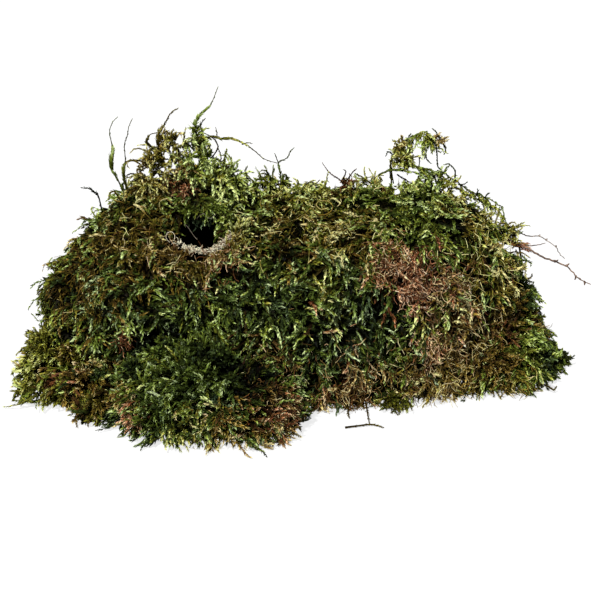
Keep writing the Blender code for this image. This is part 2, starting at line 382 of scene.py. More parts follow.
def joined(growths):
    """Several growths as one."""
    starts = np.cumsum([0] + [len(growth.points) for growth in growths])
    faces = [growth.faces + start for growth, start in zip(growths, starts)]
    points = np.concatenate([growth.points for growth in growths])
    tones = np.concatenate([growth.tones for growth in growths])
    return Growth(points, np.concatenate(faces), tones)


STALK_BROWN, STALK_LIGHT = 0.1, 0.6  # a shoot's stem is browner and darker than its leaves
LEAF_SLIP, LEAF_TWIST = 0.012, 0.25  # how far leaves stray along the stem, and round it in radians
CLOSING, LEAN_STRAY = 0.4, 7  # the share by which leaves close up at the tip, and degrees either way
SHORTEST, SWELL = 0.65, 0.5  # a leaf's length at the shoot's ends, and what it gains between them
LEAF_LENGTHS, LEAF_GLOWS = (0.75, 1.25), (0.78, 1.22)  # how leaves side by side differ
# Towards a shoot's root its leaves are darker, a painted shade for the depth of the coat
SHADED, LIGHT_GAIN = 0.4, 0.72  # a leaf's lightness at the shoot's root, and what it gains to the tip
SIDE_LIGHT, TIP_LIGHT = 0.6, 1.15  # one leaf's lightness at its sides and its own tip
LEAF_HUES = 0.025
JUST_SHORT = 0.999  # of a shoot's tip


def leafy(lines, hues, lights, rng, leaves=20, leaf=1.3, spread=30.0, bare=0.1, stem=0.26):
    """Shoots along the lines. The spread is the angle that a leaf stands out from its stem. Leaves
    are longest near a shoot's middle, close up towards its tip, and are lightest at their own.
    Towards the shoot's root they are darker, a painted shade for the depth of the coat."""
    stalk_hues = np.minimum(hues + STALK_BROWN, RUST)
    stalk, (ahead, side, up) = stems(lines, stalk_hues, STALK_LIGHT * lights, stem, 0.4 * stem)
    count, knots = lines.shape[:2]
    along = bare + (1 - bare) * (np.arange(leaves) + 0.5) / leaves
    along = np.clip(along[None, :] + rng.normal(0, LEAF_SLIP, (count, leaves)), 0, JUST_SHORT)
    knot = along * (knots - 1)
    before = knot.astype(int)
    share = (knot - before)[:, :, None]
    row = np.arange(count)[:, None]

    def at(values):
        return values[row, before] * (1 - share) + values[row, before + 1] * share

    turn = np.arange(leaves) * LEAF_TURN + rng.uniform(0, math.tau, (count, 1))
    turn = (turn + rng.normal(0, LEAF_TWIST, (count, leaves)))[:, :, None]
    front, right, top = unit(at(ahead)), at(side), at(up)
    out = np.cos(turn) * right + np.sin(turn) * top
    edge = -np.sin(turn) * right + np.cos(turn) * top
    spreads = np.broadcast_to(spread, count)[:, None]
    lean = spreads * (1 - CLOSING * along**3) + rng.normal(0, LEAN_STRAY, (count, leaves))
    lean = np.radians(lean)[:, :, None]
    way = np.cos(lean) * front + np.sin(lean) * out
    size = np.broadcast_to(leaf, count)[:, None] * (SHORTEST + SWELL * np.sin(math.pi * along**0.8))
    size = (size * rng.uniform(*LEAF_LENGTHS, along.shape))[:, :, None]
    half = size * LEAF_WIDTH / 2
    base = at(lines) + out * stem * 0.5
    points = np.stack([base + edge * half, base + way * size, base - edge * half], axis=2)
    faces = np.arange(count * leaves * 3).reshape(-1, 3)
    # painted shade: each leaf is darker the nearer it is to the shoot's root
    glow = (SHADED + LIGHT_GAIN * along) * lights[:, None] * rng.uniform(*LEAF_GLOWS, along.shape)
    shades = np.stack([SIDE_LIGHT * glow, TIP_LIGHT * glow, SIDE_LIGHT * glow], axis=-1)
    hue = (hues[:, None] + rng.normal(0, LEAF_HUES, along.shape))[:, :, None] + np.zeros(3)
    tones = np.stack([hue, shades], axis=-1).reshape(-1, 2)
    return joined([stalk, Growth(points.reshape(-1, 3), faces, tones)])


LOWEST_LINE, LOWEST_THREAD = 0.6, 0.4  # how far over the table shoots and dry stems stay
SHOOT_TURN = 0.8  # how widely a lock's shoots swing, as a share of how widely locks do
LOCK_HEIGHTS, SHOOT_HEIGHTS = 0.9, 0.6  # how heights stray from lock to lock and within one
LOOSE_HEIGHTS = (1.2, 3.6)  # how much higher the few loose shoots stand
LOCK_LIGHTS, LOCK_HUES = 0.25, 0.04  # how tones stray from lock to lock
REACHES = (0.55, 1.45)  # from the shortest shoots to the longest, as shares of the coat's length
NEAR_TABLE, TABLE_RISE = 5, 0.15  # shoots lower than the first stand out more, by the second
GATHERING = 0.25  # the share by which a lock's tips draw together
# A shoot's root and middle lie behind its place and its tip ahead, as shares of its reach. The
# middle bows up, the tip nods and droops, and a shoot that rises reaches less far ahead.
ROOT_BEHIND, MIDDLE_BEHIND, TIP_AHEAD = 0.45, 0.05, 0.55
BOW, NOD, DROOP, STEEPENING = 0.8, 0.3, 0.1, 0.6
SWAY, TIP_STRAY = 1.5, 1.0  # how far the middle strays sideways, and the tip any way
LEAF_SIZES, LEAF_SPREADS = (0.8, 1.25), (22, 38)  # from shoot to shoot


def coat(
    spots, locks, way, hues, lights, rng,
    length, lift, sink, rise=0.0, leaves=20, leaf=1.3, swing=0.8, stray=0.07, knots=4,
):
    """Shoots over a surface, rooted under it, which lie along it in locks. Their rise is the share
    of their length that they stand up from it."""
    places, outward = spots
    middles, lock = locks
    total, count = len(places), len(middles)
    turn = rng.normal(0, swing, count)[lock] + rng.normal(0, SHOOT_TURN * swing, total)
    height = lift + rng.normal(0, LOCK_HEIGHTS, count)[lock] + rng.normal(0, SHOOT_HEIGHTS, total)
    height += np.where(rng.random(total) < stray, rng.uniform(*LOOSE_HEIGHTS, total), 0)
    shine = np.exp(rng.normal(0, LOCK_LIGHTS, count))[lock]
    drift = rng.normal(0, LOCK_HUES, count)[lock]
    along = combed(outward, way, turn)
    reach = length * rng.uniform(*REACHES, total)[:, None]
    height = height[:, None]
    rise = rise + TABLE_RISE * (places[:, 2:] < NEAR_TABLE)
    root = places - ROOT_BEHIND * reach * along - sink * outward
    across = np.cross(outward, along)
    bend = places - MIDDLE_BEHIND * reach * along + (height + BOW) * outward
    bend += rng.normal(0, SWAY, (total, 1)) * across
    tip = places + (TIP_AHEAD - STEEPENING * rise) * reach * along
    tip = tip + (height - NOD + rise * reach) * outward + GATHERING * (middles[lock] - places)
    tip += rng.normal(0, TIP_STRAY, (total, 3))
    tip[:, 2] -= DROOP * reach[:, 0]
    lines = bent(root, bend, tip, knots)
    lines[:, :, 2] = np.maximum(lines[:, :, 2], LOWEST_LINE)
    leaf = leaf * rng.uniform(*LEAF_SIZES, total)
    spread = rng.uniform(*LEAF_SPREADS, total)
    kept = ~open_to_light(lines, GAPS + END_GAPS).any(axis=1)
    hues, lights = (hues + drift)[kept], (lights * shine)[kept]
    return leafy(lines[kept], hues, lights, rng, leaves, leaf[kept], spread[kept])


THREAD_TURN, THREAD_RISE = 1.2, 0.5  # how widely dry stems swing, and how steeply they rise
THREAD_SINK = 0.3  # how deep they are rooted
THREAD_LENGTHS = (0.5, 1.5)  # shares of the given length


def threads(spots, way, hues, lights, rng, length, wander=0.4, thickness=0.13, knots=5):
    """Dry stems without leaves, which rise out of the mat and curl back on it."""
    places, outward = spots
    total = len(places)
    heading = combed(outward, way, rng.normal(0, THREAD_TURN, total)) + THREAD_RISE * outward
    stride = (length / (knots - 1) * rng.uniform(*THREAD_LENGTHS, total))[:, None]
    here = places - THREAD_SINK * outward
    line = [here]
    for knot in range(1, knots):
        lift = THREAD_RISE * (0.5 - knot / knots)
        heading = unit(heading + wander * rng.normal(0, 1, (total, 3)) + lift * outward)
        here = here + heading * stride
        line.append(here)
    lines = np.stack(line, axis=1)
    lines[:, :, 2] = np.maximum(lines[:, :, 2], LOWEST_THREAD)
    return stems(lines, hues, lights, thickness, 0.6 * thickness)[0]


# The core's lightness is kept near black, brown thatch under painted shade, and darker still round the
# pits
CORE_DEPTHS, CORE_LIGHTS = (0.7, 1.3), (0.04, 0.2)  # how the core's surface is broken up
PIT_DARKNESS = 0.85
CORE_FOOT, FOOT_INSET = 3.5, 1.4  # up to about this height the core is drawn in more, by this share
CORE_LEVEL = 4.0  # and under this height it is drawn in sideways more than up
UNDERSIDE_RISE, UNDERSIDE_INSET = 0.5, 7  # its flat underside, drawn in by this at its rim


def thatch_core(node, sink, pits, rng):
    """The brown thatch under the shoots, painted near black for the shade between them: the solid's form
    drawn in, with its surface broken up.
    """
    form = forms[node]
    shape = bmesh.new()
    verts = [shape.verts.new(point) for point in form.points]
    for corners in form.faces:
        shape.faces.new([verts[corner] for corner in corners])
    bmesh.ops.subdivide_edges(shape, edges=shape.edges, cuts=1, use_grid_fill=True)
    points, faces, outward = read_out(shape)
    inward = sink * rng.uniform(*CORE_DEPTHS, len(points))
    shades = rng.uniform(*CORE_LIGHTS, len(points))
    for pit in pits:
        far = far_from(points, pit)
        inward += pit.depth * np.exp(-(far**2))
        # painted shade, deepest in each pit's middle
        shades *= 1 - PIT_DARKNESS * np.exp(-(far**4))
    inward *= 1 + FOOT_INSET * np.exp(-((points[:, 2] / CORE_FOOT) ** 2))
    inward = outward * inward[:, None]
    inward[:, 2] *= np.clip(points[:, 2] / CORE_LEVEL, 0, 1)
    under = points[:, 2] < UNDERSIDE_RISE
    across = points[under] - points[under].mean(axis=0)
    inward[under] = UNDERSIDE_INSET * across / np.linalg.norm(across, axis=1).max()
    inward[under, 2] = 0
    points = points - inward
    faces = faces[~open_to_light(points[faces].mean(axis=1), END_GAPS)]
    tones = np.stack([np.full(len(points), THATCH), shades], axis=1)
    return Growth(points, faces, tones)


LEAST_TONE, MOST_TONES = 0.005, (0.995, 0.9)  # hue and lightness stay within these


def make_piece(name, growth, finish, node):
    """One mesh that stands for a solid, or for a part of it."""
    points = growth.points.copy()
    points[:, 2] = np.maximum(points[:, 2], TABLE_GAP)
    mesh = bpy.data.meshes.new(name)
    mesh.vertices.add(len(points))
    mesh.vertices.foreach_set("co", (points * MM).astype(np.float32).ravel())
    mesh.loops.add(growth.faces.size)
    mesh.loops.foreach_set("vertex_index", growth.faces.astype(np.int32).ravel())
    mesh.polygons.add(len(growth.faces))
    mesh.polygons.foreach_set("loop_start", np.arange(0, growth.faces.size, 3, dtype=np.int32))
    mesh.update(calc_edges=True)
    tones = np.clip(growth.tones, LEAST_TONE, MOST_TONES).astype(np.float32)
    mesh.uv_layers.new(name="OFBake").data.foreach_set("uv", tones[growth.faces.ravel()].ravel())
    mesh.materials.append(finish)
    piece = bpy.data.objects.new(name, mesh)
    bpy.context.scene.collection.objects.link(piece)
    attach(piece, "root")
    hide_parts(node)


# Patches of tone. Their lightness is partly the moss's own and partly painted light and shade over the
# mound's form
MOUND_PATCHES = (
    Patch((-33, -18, 46), 13, FRESH_GREEN, 1.2, 0.6),  # fresh shoots under the hollow
    Patch((-12, -25, 34), 20, DEEP_GREEN, 0.95, 0.6),
    Patch((13, -22, 40), 18, DEEP_GREEN, 1.46, 0.6),
    Patch((-9, -18, 51), 10, DEEP_GREEN, 0.76, 0.8),
    Patch((-22, -22, 41), 9, DEEP_GREEN, 0.85, 0.7),
    Patch((-38, -24, 37), 12, DEEP_GREEN, 0.98, 0.6),
    Patch((-44, -26, 28), 8, DEEP_GREEN, 0.6, 0.8),
    Patch((4, -20, 46), 9, YELLOW_GREEN, 1.35, 0.6),
    Patch((-9, -23, 39), 8, DEEP_GREEN, 0.6, 0.6),
    Patch((3, -25, 28), 9, DEEP_GREEN, 1.05, 0.7),
    Patch((-52, -4, 57), 16, 0.6, 1.15, 0.7),  # dry shoots left of the hollow
    Patch((-62, -9, 52), 13, OLIVE, 0.48, 0.7),
    Patch((-72, -14, 42), 20, GOLDEN, 0.9, 0.6),
    Patch((-62, -21, 35), 16, DEEP_GREEN, 1.38, 0.5),
    Patch((-88, -4, 28), 14, 0.47, 0.72, 0.95),  # the left end's yellow edge
    Patch((-32, -16, 52), 7, THATCH, 1.0, 0.7),
    Patch((-21, -12, 56), 7, GOLDEN, 1.5, 0.8),
    Patch((-7, -8, 60), 12, GOLDEN, 0.86, 0.8),  # the brown band under the ridge
    Patch((14, -10, 58), 11, OLIVE, 1.42, 0.8),
    Patch((34, -10, 54), 11, 0.34, 0.8, 0.7),
    Patch((-17, -2, 62), 9, YELLOW_GREEN, 1.12, 0.7),
    Patch((2, 2, 65), 14, YELLOW_GREEN, 1.08, 0.7),
    Patch((-22, 4, 62), 9, FRESH_GREEN, 1.65, 0.8),
    Patch((41, -1, 62), 12, FRESH_GREEN, 1.36, 0.7),
    Patch((55, -1, 58), 11, OLIVE, 0.7, 0.7),
    Patch((30.5, -15.6, 46.5), 9, 0.84, 1.04, 0.9),  # the rusty patch
    Patch((37, -16.5, 41.5), 8, 0.89, 1.4, 0.8),
    Patch((46, -14, 42), 9, THATCH, 1.08, 0.7),
    Patch((43, -17, 31), 7, YELLOW_GREEN, 1.2, 0.7),
    Patch((54, -11, 24), 13, 0.82, 0.84, 0.8),
    Patch((52, -12, 33), 8, THATCH, 1.3, 0.6),
    Patch((41, -17, 19), 5, RUST, 1.2, 0.9),
    Patch((50, -14, 9), 12, GOLDEN, 1.26, 0.8),
    Patch((64, -3, 38), 15, OLIVE, 1.46, 0.75),
    Patch((66, 0, 28), 12, 0.62, 0.9, 0.7),
    Patch((12, -22, 8), 14, THATCH, 1.5, 0.9),
    Patch((38, -18, 8), 10, OLIVE, 1.6, 0.8),
    Patch((8, -24, 20), 10, DEEP_GREEN, 0.85, 0.7),
    Patch((19, -21, 27), 9, DEEP_GREEN, 0.5, 0.75),
    Patch((-8, -26, 28), 9, FRESH_GREEN, 1.4, 0.6),
    Patch((-20, -27, 29), 7, FRESH_GREEN, 1.5, 0.6),
    Patch((-18, -29, 22), 7, THATCH, 0.8, 0.7),
)
LIP_PITS = (
    Pit((-43.2, -6.5, 57.4), 4.0, 1.5),
    Pit((-34, -13, 53.6), 1.8, 0.2),
    Pit((-30, -13, 54), 1.8, 0.2),
)
MOUND_PITS = (
    Pit((-52, -28, 25), 6.5, 5.0),
    Pit((-60, -29, 21), 4.0, 3.0),
    Pit((59, -10, 30), 3.0, 3.0),
    Pit((62, -10, 12), 4.0, 3.0),
    Pit((-22, -30, 22), 6.0, 2.0),
)
# Shade painted on the shoots at places in the brown band, and painted on the thatch in the hollow
BAND_SHADOWS = (Pit((-3, -9.5, 59.5), 3.4, 0.0), Pit((13.4, -11.5, 55.8), 3.6, 0.0))
HOLLOW_MIDDLE, HOLLOW_RADII = (-32.5, -3.8, 55.0), (9.3, 8.0, 16.0)
HOLLOW_SHADE = Pit(HOLLOW_MIDDLE, 15.0, 0.0)


def in_hollow(places):
    """How far a place is from the hollow's middle, with 1 at its wall."""
    return np.linalg.norm((places - np.array(HOLLOW_MIDDLE)) / np.array(HOLLOW_RADII), axis=1)


def clear_of_pits(places, pits, share=0.3):
    """Which places are outside this share of every pit, where shoots can stand."""
    return np.all([far_from(places, pit) > share for pit in pits], axis=0)


# The shade in the pits is painted onto the shoots' lightness
PIT_SHADE = 0.8  # of the light is lost in a pit's middle


def shade_of(places, pits):
    """How much of their lightness the shoots in and round the pits keep under the painted shade there."""
    shade = np.ones(len(places))
    for pit in pits:
        shade *= 1 - PIT_SHADE * np.exp(-(far_from(places, pit) ** 2))
    return shade


# Where shoots begin to turn outwards along the mound, and how much further on they have turned
LEFT_END, LEFT_TURN = -70, 20
RIGHT_END, RIGHT_TURN = 35, 30
FOLD_TOP, FOLD_TURN = 9, 6  # how far back the fold's top is, and how soon its two sides fall away
LEFTWARDS, RIGHTWARDS, FORTH = 0.8, 0.7, 0.5  # how far shoots turn from straight down


def hanging(places):
    """Down, away from the fold's top, and outwards at the mound's two ends."""
    x, y = places[:, 0], places[:, 1]
    leftwards = LEFTWARDS * np.clip((LEFT_END - x) / LEFT_TURN, 0, 1)
    rightwards = RIGHTWARDS * np.clip((x - RIGHT_END) / RIGHT_TURN, 0, 1)
    forth = FORTH * np.tanh((y - FOLD_TOP) / FOLD_TURN)
    return np.stack([rightwards - leftwards, forth, np.full(len(places), -1.0)], axis=1)


Layer = namedtuple("Layer", "places outward lock hues lights")


def layer_on(spots, per_square, lock_width, hue, light, rng):
    """One layer of the mound's shoots: the middles of its locks, and the shoots themselves."""
    middles, lock = locks_of(spots.places, per_square, lock_width, rng)
    return middles, Layer(*spots, lock, *toned(spots.places, hue, light, MOUND_PATCHES, rng))


def stretch_of(layer, middles, low, high, rng, **lie):
    """The coat that one layer makes between two places along the mound."""
    here = those((layer.places[:, 0] >= low) & (layer.places[:, 0] < high), layer)
    spots = Spots(here.places, here.outward)
    return coat(spots, (middles, here.lock), hanging(here.places), here.hues, here.lights, rng, **lie)


TOP_DENSITY, UNDER_DENSITY = 0.45, 0.26  # shoots to a square millimetre
# Shoots stand outside the hollow's wall or over its top, and those up to its rim are painted darker for
# the hollow's shade
HOLLOW_WALL, HOLLOW_TOP, HOLLOW_RIM = 1.08, 59, 1.12
RIM_SHADE = 0.4
moss_green = moss_finish("moss_green", roughness=0.62)
rng = np.random.default_rng(11)
spots = spots_on("moss_mound", TOP_DENSITY, rng)
kept = clear_of_pits(spots.places, LIP_PITS, share=0.8)
kept &= clear_of_pits(spots.places, MOUND_PITS[:1], share=0.75)
kept &= clear_of_pits(spots.places, MOUND_PITS)
kept &= (in_hollow(spots.places) > HOLLOW_WALL) | (spots.places[:, 2] > HOLLOW_TOP)
spots = those(kept, spots)
mound_spots = those(parted(spots.places, TOP_DENSITY, spacing=5.5, radius=1.7, rng=rng), spots)
top_middles, top = layer_on(mound_spots, TOP_DENSITY, lock_width=4.5, hue=0.27, light=0.7, rng=rng)
# Painted shade on the shoots in the pits and at the brown band's shadowed places
top.lights[:] *= shade_of(top.places, (*MOUND_PITS, *BAND_SHADOWS))
top.lights[in_hollow(top.places) < HOLLOW_RIM] *= RIM_SHADE
# The under layer's shoots are browner and, as painted shade deep in the coat, much darker
spots = spots_on("moss_mound", UNDER_DENSITY, rng)
spots = those(in_hollow(spots.places) > HOLLOW_WALL, spots)
under_middles, under = layer_on(spots, UNDER_DENSITY, lock_width=7.0, hue=0.45, light=0.14, rng=rng)

# The coat is one mat, made in stretches so that each mesh stays light
MOUND_STRETCHES = {
    "mound_left_moss": (-200, -45),
    "mound_lip_moss": (-45, -20),
    "mound_middle_moss": (-20, 8),
    "mound_right_moss": (8, 38),
    "mound_end_moss": (38, 200),
}
for name, ends in MOUND_STRETCHES.items():
    top_coat = stretch_of(
        top, top_middles, *ends, rng, length=6.2, lift=-0.4, sink=4.0, leaves=19, leaf=1.25,
    )
    under_coat = stretch_of(
        under, under_middles, *ends, rng,
        length=7.5, lift=-2.4, sink=5.0, leaves=8, leaf=2.2, swing=0.9, stray=0, knots=3,
    )
    make_piece(name, joined([top_coat, under_coat]), moss_green, "moss_mound")
thatch_in_shade = moss_finish("thatch_in_shade", roughness=0.8, sheen=0.0)
core = thatch_core("moss_mound", sink=3.6, pits=(*LIP_PITS, *MOUND_PITS, HOLLOW_SHADE), rng=rng)
make_piece("mound_core", core, thatch_in_shade, "moss_mound")

# Dry brown stems that show where the mat has lost its leaves
Fray = namedtuple("Fray", "centre radius count hue light length")
MOUND_FRAYS = (
    Fray((-52, -4, 57), 11, 150, 0.62, 0.6, 4),
    Fray((-45, -12, 52), 7, 140, THATCH, 0.62, 4),
    Fray((-36, -17, 48), 6, 100, GOLDEN, 0.7, 4),
    Fray((-27, -17, 51), 4, 80, RUST, 0.75, 4),
    Fray((-7, -8, 60), 11, 160, 0.6, 0.75, 4),
    Fray((14, -10, 57), 12, 160, 0.6, 0.8, 4),
    Fray((27, -14.8, 49), 5, 380, 0.84, 0.74, 2.6),
    Fray((34, -15.9, 43.5), 6, 420, 0.88, 0.72, 2.6),
    Fray((37, -16, 41), 4, 160, 0.92, 0.68, 3),
    Fray((46, -14, 42), 8, 140, THATCH, 0.75, 4),
    Fray((54, -11, 24), 12, 240, THATCH, 0.75, 4),
    Fray((41, -17, 19), 3.5, 160, RUST, 0.95, 3),
    Fray((50, -14, 9), 12, 320, 0.72, 0.76, 4.5),
    Fray((16, -22, 8), 12, 340, THATCH, 0.75, 4),
    Fray((33, -18, 7), 10, 200, THATCH, 0.7, 4),
    Fray((56, -6, 47), 11, 120, OLIVE, 1.0, 5),
    Fray((-57, -28, 26.5), 2.6, 120, RUST, 0.5, 2.2),
    Fray((-62, -8, 54), 8, 130, 0.6, 0.48, 3.5),
    Fray((-68, -16, 42), 14, 180, GOLDEN, 0.5, 3.5),
    Fray((-10, -30, 17), 9, 160, THATCH, 0.5, 3.5),
)


FRAY_STRAY, FRAY_HUES, FRAY_LIGHTS = 0.8, 0.03, 0.45


def frayed(frays, spots, rng):
    """The dry stems of every frayed place, rooted at the coat's spots."""
    places, outward = spots
    growths = []
    for fray in frays:
        weight = np.exp(-(far_from(places, fray) ** 2))
        chosen = rng.choice(len(places), fray.count, p=weight / weight.sum())
        roots = Spots(places[chosen] + rng.normal(0, FRAY_STRAY, (fray.count, 3)), outward[chosen])
        tones = varied(fray.hue, fray.light, fray.count, FRAY_HUES, FRAY_LIGHTS, rng)
        growths.append(threads(roots, hanging(roots.places), *tones, rng, fray.length))
    return joined(growths)


# The hollow's front lip is frayed to pale fibres, with a small curl at its left end. Beside it a
# sheaf of dry shoots fans out to the right, and shoots painted dark for the hollow's shade hang in its
# mouth.
HOLLOW_LIP = (
    (-41.4, -11.2, 54.4), (-38.8, -12.4, 53.4), (-35.5, -13.4, 52.7), (-32.2, -14.5, 52.6),
    (-29.2, -15.2, 53.4), (-27.1, -14.8, 54.8), (-25.2, -13.8, 56.4), (-23.8, -12.8, 57.8),
)
LIP_CURL = (
    (-43.6, -11.4, 55), (-44.8, -10.7, 56.2), (-44.5, -9.9, 57.6), (-43.1, -9.7, 58), (-42.1, -10.2, 57),
    (-42.3, -10.9, 55.6), (-43.4, -11.1, 55.4),
)
# A curled thread on the brown band, and two thin ones at the hollow's mouth
BAND_CURL = (
    (2.2, -4.6, 64), (4.2, -6, 62.6), (7, -5.2, 62.6), (8.8, -2.6, 63.8), (7.6, 0, 65), (4.8, 0.2, 65.2),
    (3.4, -1.8, 64.6), (5, -3.6, 63.6), (7.2, -2.6, 63.8),
)
MOUTH_THREADS = (
    ((-39.6, -2.2, 58), (-38.4, -3.6, 57.6), (-37.2, -4.6, 56.2), (-36.2, -5, 54.8), (-35.2, -5.8, 54)),
    (
        (-35.4, -2.4, 60), (-34.4, -3, 61.2), (-33, -3.2, 62),
        (-31.9, -3.2, 60.8), (-30.6, -3.2, 60.4), (-29.3, -2.8, 61.8),
    ),
)


LIP_FIBRES, LIP_STRAY, LIP_HEIGHT = 340, 0.32, 0.8  # how many, how far off its line, how far over it
LIP_OUTWARD = (0.0, -0.5, 0.85)
LIP_LIGHT, LIP_FADE = 1.2, 0.35  # palest at the left, and less so by this at the right


def lip_fibres(count, rng):
    """Short pale curls along the lip."""
    route = np.array(HOLLOW_LIP, float)
    spot = rng.uniform(0, len(route) - 1.001, count)
    before = spot.astype(int)
    share = (spot - before)[:, None]
    places = route[before] * (1 - share) + route[before + 1] * share
    places += rng.normal(0, LIP_STRAY, (count, 3))
    outward = unit(np.array(LIP_OUTWARD) + rng.normal(0, 0.25, (count, 3)))
    way = unit(route[before + 1] - route[before]) * np.sign(rng.normal(0, 1, (count, 1)))
    tones = varied(STRAW, LIP_LIGHT - LIP_FADE * spot / len(route), count, 0.02, 0.15, rng)
    spots = Spots(places + LIP_HEIGHT * outward, outward)
    return threads(spots, way, *tones, rng, length=1.7, wander=0.9, thickness=0.11)


FREE_LENGTHS = (0.55, 1.4)  # free shoots' lengths, as shares of the given one


def wandering(roots, headings, length, curl, rng, knots=7, droop=0.0):
    """Lines from the roots along the headings, each curling to one side of its own and drooping."""
    heading = unit(headings)
    axis = unit(np.cross(heading, rng.normal(0, 1, heading.shape)))
    turn = rng.normal(0, curl, (len(roots), 1)) / (knots - 1)
    stride = length * rng.uniform(*FREE_LENGTHS, (len(roots), 1)) / (knots - 1)
    here = np.array(roots, float)
    line = [here]
    for knot in range(1, knots):
        bow = turn * 2 * knot / knots
        heading = unit(np.cos(bow) * heading + np.sin(bow) * np.cross(axis, heading))
        heading = unit(heading - np.array([0, 0, droop * knot / knots]))
        here = here + heading * stride
        line.append(here)
    lines = np.stack(line, axis=1)
    lines[:, :, 2] = np.maximum(lines[:, :, 2], LOWEST_LINE)
    return lines


def along_route(points, steps=4):
    """One smooth line through a route's points. At each it runs along with the ones either side."""
    route = np.array(points, float)
    ends = np.concatenate([2 * route[:1] - route[1:2], route, 2 * route[-1:] - route[-2:-1]])
    line = []
    for before, start, end, after in zip(ends, ends[1:], ends[2:], ends[3:]):
        for step in range(steps):
            t = step / steps
            pull = (2 * before - 5 * start + 4 * end - after) * t**2
            swing = (3 * start - before - 3 * end + after) * t**3
            line.append((2 * start + (end - before) * t + pull + swing) / 2)
    return np.array([[*line, route[-1]]])


def single(route, hue, light):
    """A line along a route, with its one hue and lightness."""
    return along_route(route), np.array([hue]), np.array([light])


Bunch = namedtuple("Bunch", "centre radii count source length curl hue light leaf")
BUNCH_HUES, BUNCH_LIGHTS = 0.04, 0.27  # how tones spread in a bunch
BUNCH_LEAVES = 3.2  # to a millimetre of shoot
LONG_SHOOT = 5  # longer ones have more knots


def bunches(groups, rng, mess=0.4, spread=32, droop=0.0):
    """Free shoots, bunch by bunch, that grow more or less away from each bunch's source."""
    growths = []
    for group in groups:
        ball = unit(rng.normal(0, 1, (group.count, 3))) * rng.random((group.count, 1)) ** (1 / 3)
        roots = np.array(group.centre) + ball * np.array(group.radii)
        headings = unit(roots - np.array(group.source)) + rng.normal(0, mess, roots.shape)
        knots = 7 if group.length > LONG_SHOOT else 5
        lines = wandering(roots, headings, group.length, group.curl, rng, knots, droop)
        lines = lines[~open_to_light(lines, GAPS).any(axis=1)]
        tones = varied(group.hue, group.light, len(lines), BUNCH_HUES, BUNCH_LIGHTS, rng)
        leaves = int(BUNCH_LEAVES * group.length)
        growths.append(leafy(lines, *tones, rng, leaves, group.leaf, spread, bare=0.03, stem=0.24))
    return joined(growths)


HOLLOW_SHOOTS = (
    Bunch((-34, 1.5, 63.5), (7, 1.5, 1.5), 56, (-35, 6, 76), 4.6, 1.2, FRESH_GREEN, 0.6, 1.2),
    Bunch((-35, 2, 60), (6, 1.5, 2), 26, (-35, 6, 72), 4.5, 1.2, BLUE_GREEN, 0.42, 1.2),
    Bunch((-26, -2, 60), (2.5, 2, 3), 30, (-27, 4, 70), 5, 1.2, FRESH_GREEN, 0.7, 1.2),
    Bunch((-25.6, -6.5, 59.4), (2, 2.4, 2), 44, (-26, -1, 70), 5.4, 1.2, FRESH_GREEN, 0.5, 1.1),
    Bunch((-27.5, -16.6, 49.6), (3, 1, 1.5), 50, (-31, -17, 44), 5, 1.0, GOLDEN, 0.85, 0.7),
    Bunch((-23.5, -14.6, 54), (2, 1.5, 2), 40, (-28, -16, 48), 5, 1.0, OLIVE, 1.05, 0.9),
    Bunch((-22, -11, 57), (2, 1.5, 2), 40, (-26, -14, 50), 5, 1.0, YELLOW_GREEN, 1.15, 1.1),
    Bunch((-43, -14, 50), (5, 2, 3), 60, (-43, -8, 54), 4.5, 1.4, GOLDEN, 0.6, 0.8),
    Bunch((-43, -12, 53), (2.6, 1, 1.2), 46, (-42, -9, 57), 3, 1.4, GOLDEN, 0.66, 0.7),
    Bunch((-34, -17, 49), (5, 1.5, 2), 60, (-34, -12, 54), 4, 1.4, OLIVE, 0.6, 0.9),
)
# Shoots in the deep places where the coat is thin, painted dark for the shade there
PIT_SHOOTS = (
    Bunch((-52, -26.6, 24.6), (3.4, 1, 3.2), 40, (-52, -18, 24), 3.2, 1.8, BLUE_GREEN, 0.32, 1.1),
    Bunch((-57.5, -15.4, 45.4), (2.4, 1, 2), 24, (-56, -8, 46), 3.6, 1.4, OLIVE, 0.5, 1.1),
    Bunch((-66.5, -19.8, 34), (2.4, 1.4, 2.4), 24, (-62, -12, 36), 3.6, 1.4, OLIVE, 0.5, 1.1),
    Bunch((-3, -24, 35.4), (2.4, 1, 2.2), 22, (-3, -14, 37), 3.6, 1.4, DEEP_GREEN, 0.5, 1.1),
    Bunch((-11.3, -23.5, 30.8), (2, 1, 2.2), 22, (-11, -14, 33), 3.6, 1.4, DEEP_GREEN, 0.5, 1.1),
    Bunch((13.1, -16, 45.6), (3, 1, 2.4), 34, (13, -8, 47), 3.6, 1.4, DEEP_GREEN, 0.55, 1.1),
    Bunch((25.7, -3.2, 58), (2.6, 1.4, 1.8), 30, (26, 2, 56), 3.6, 1.4, OLIVE, 0.55, 1.1),
    Bunch((41.2, -11.4, 41), (3.2, 1, 4), 60, (40, -5, 43), 3.8, 1.4, THATCH, 0.66, 0.9),
    Bunch((27.9, -16, 15.3), (2.4, 1, 2.4), 26, (28, -8, 17), 3.6, 1.4, DEEP_GREEN, 0.5, 1.1),
)
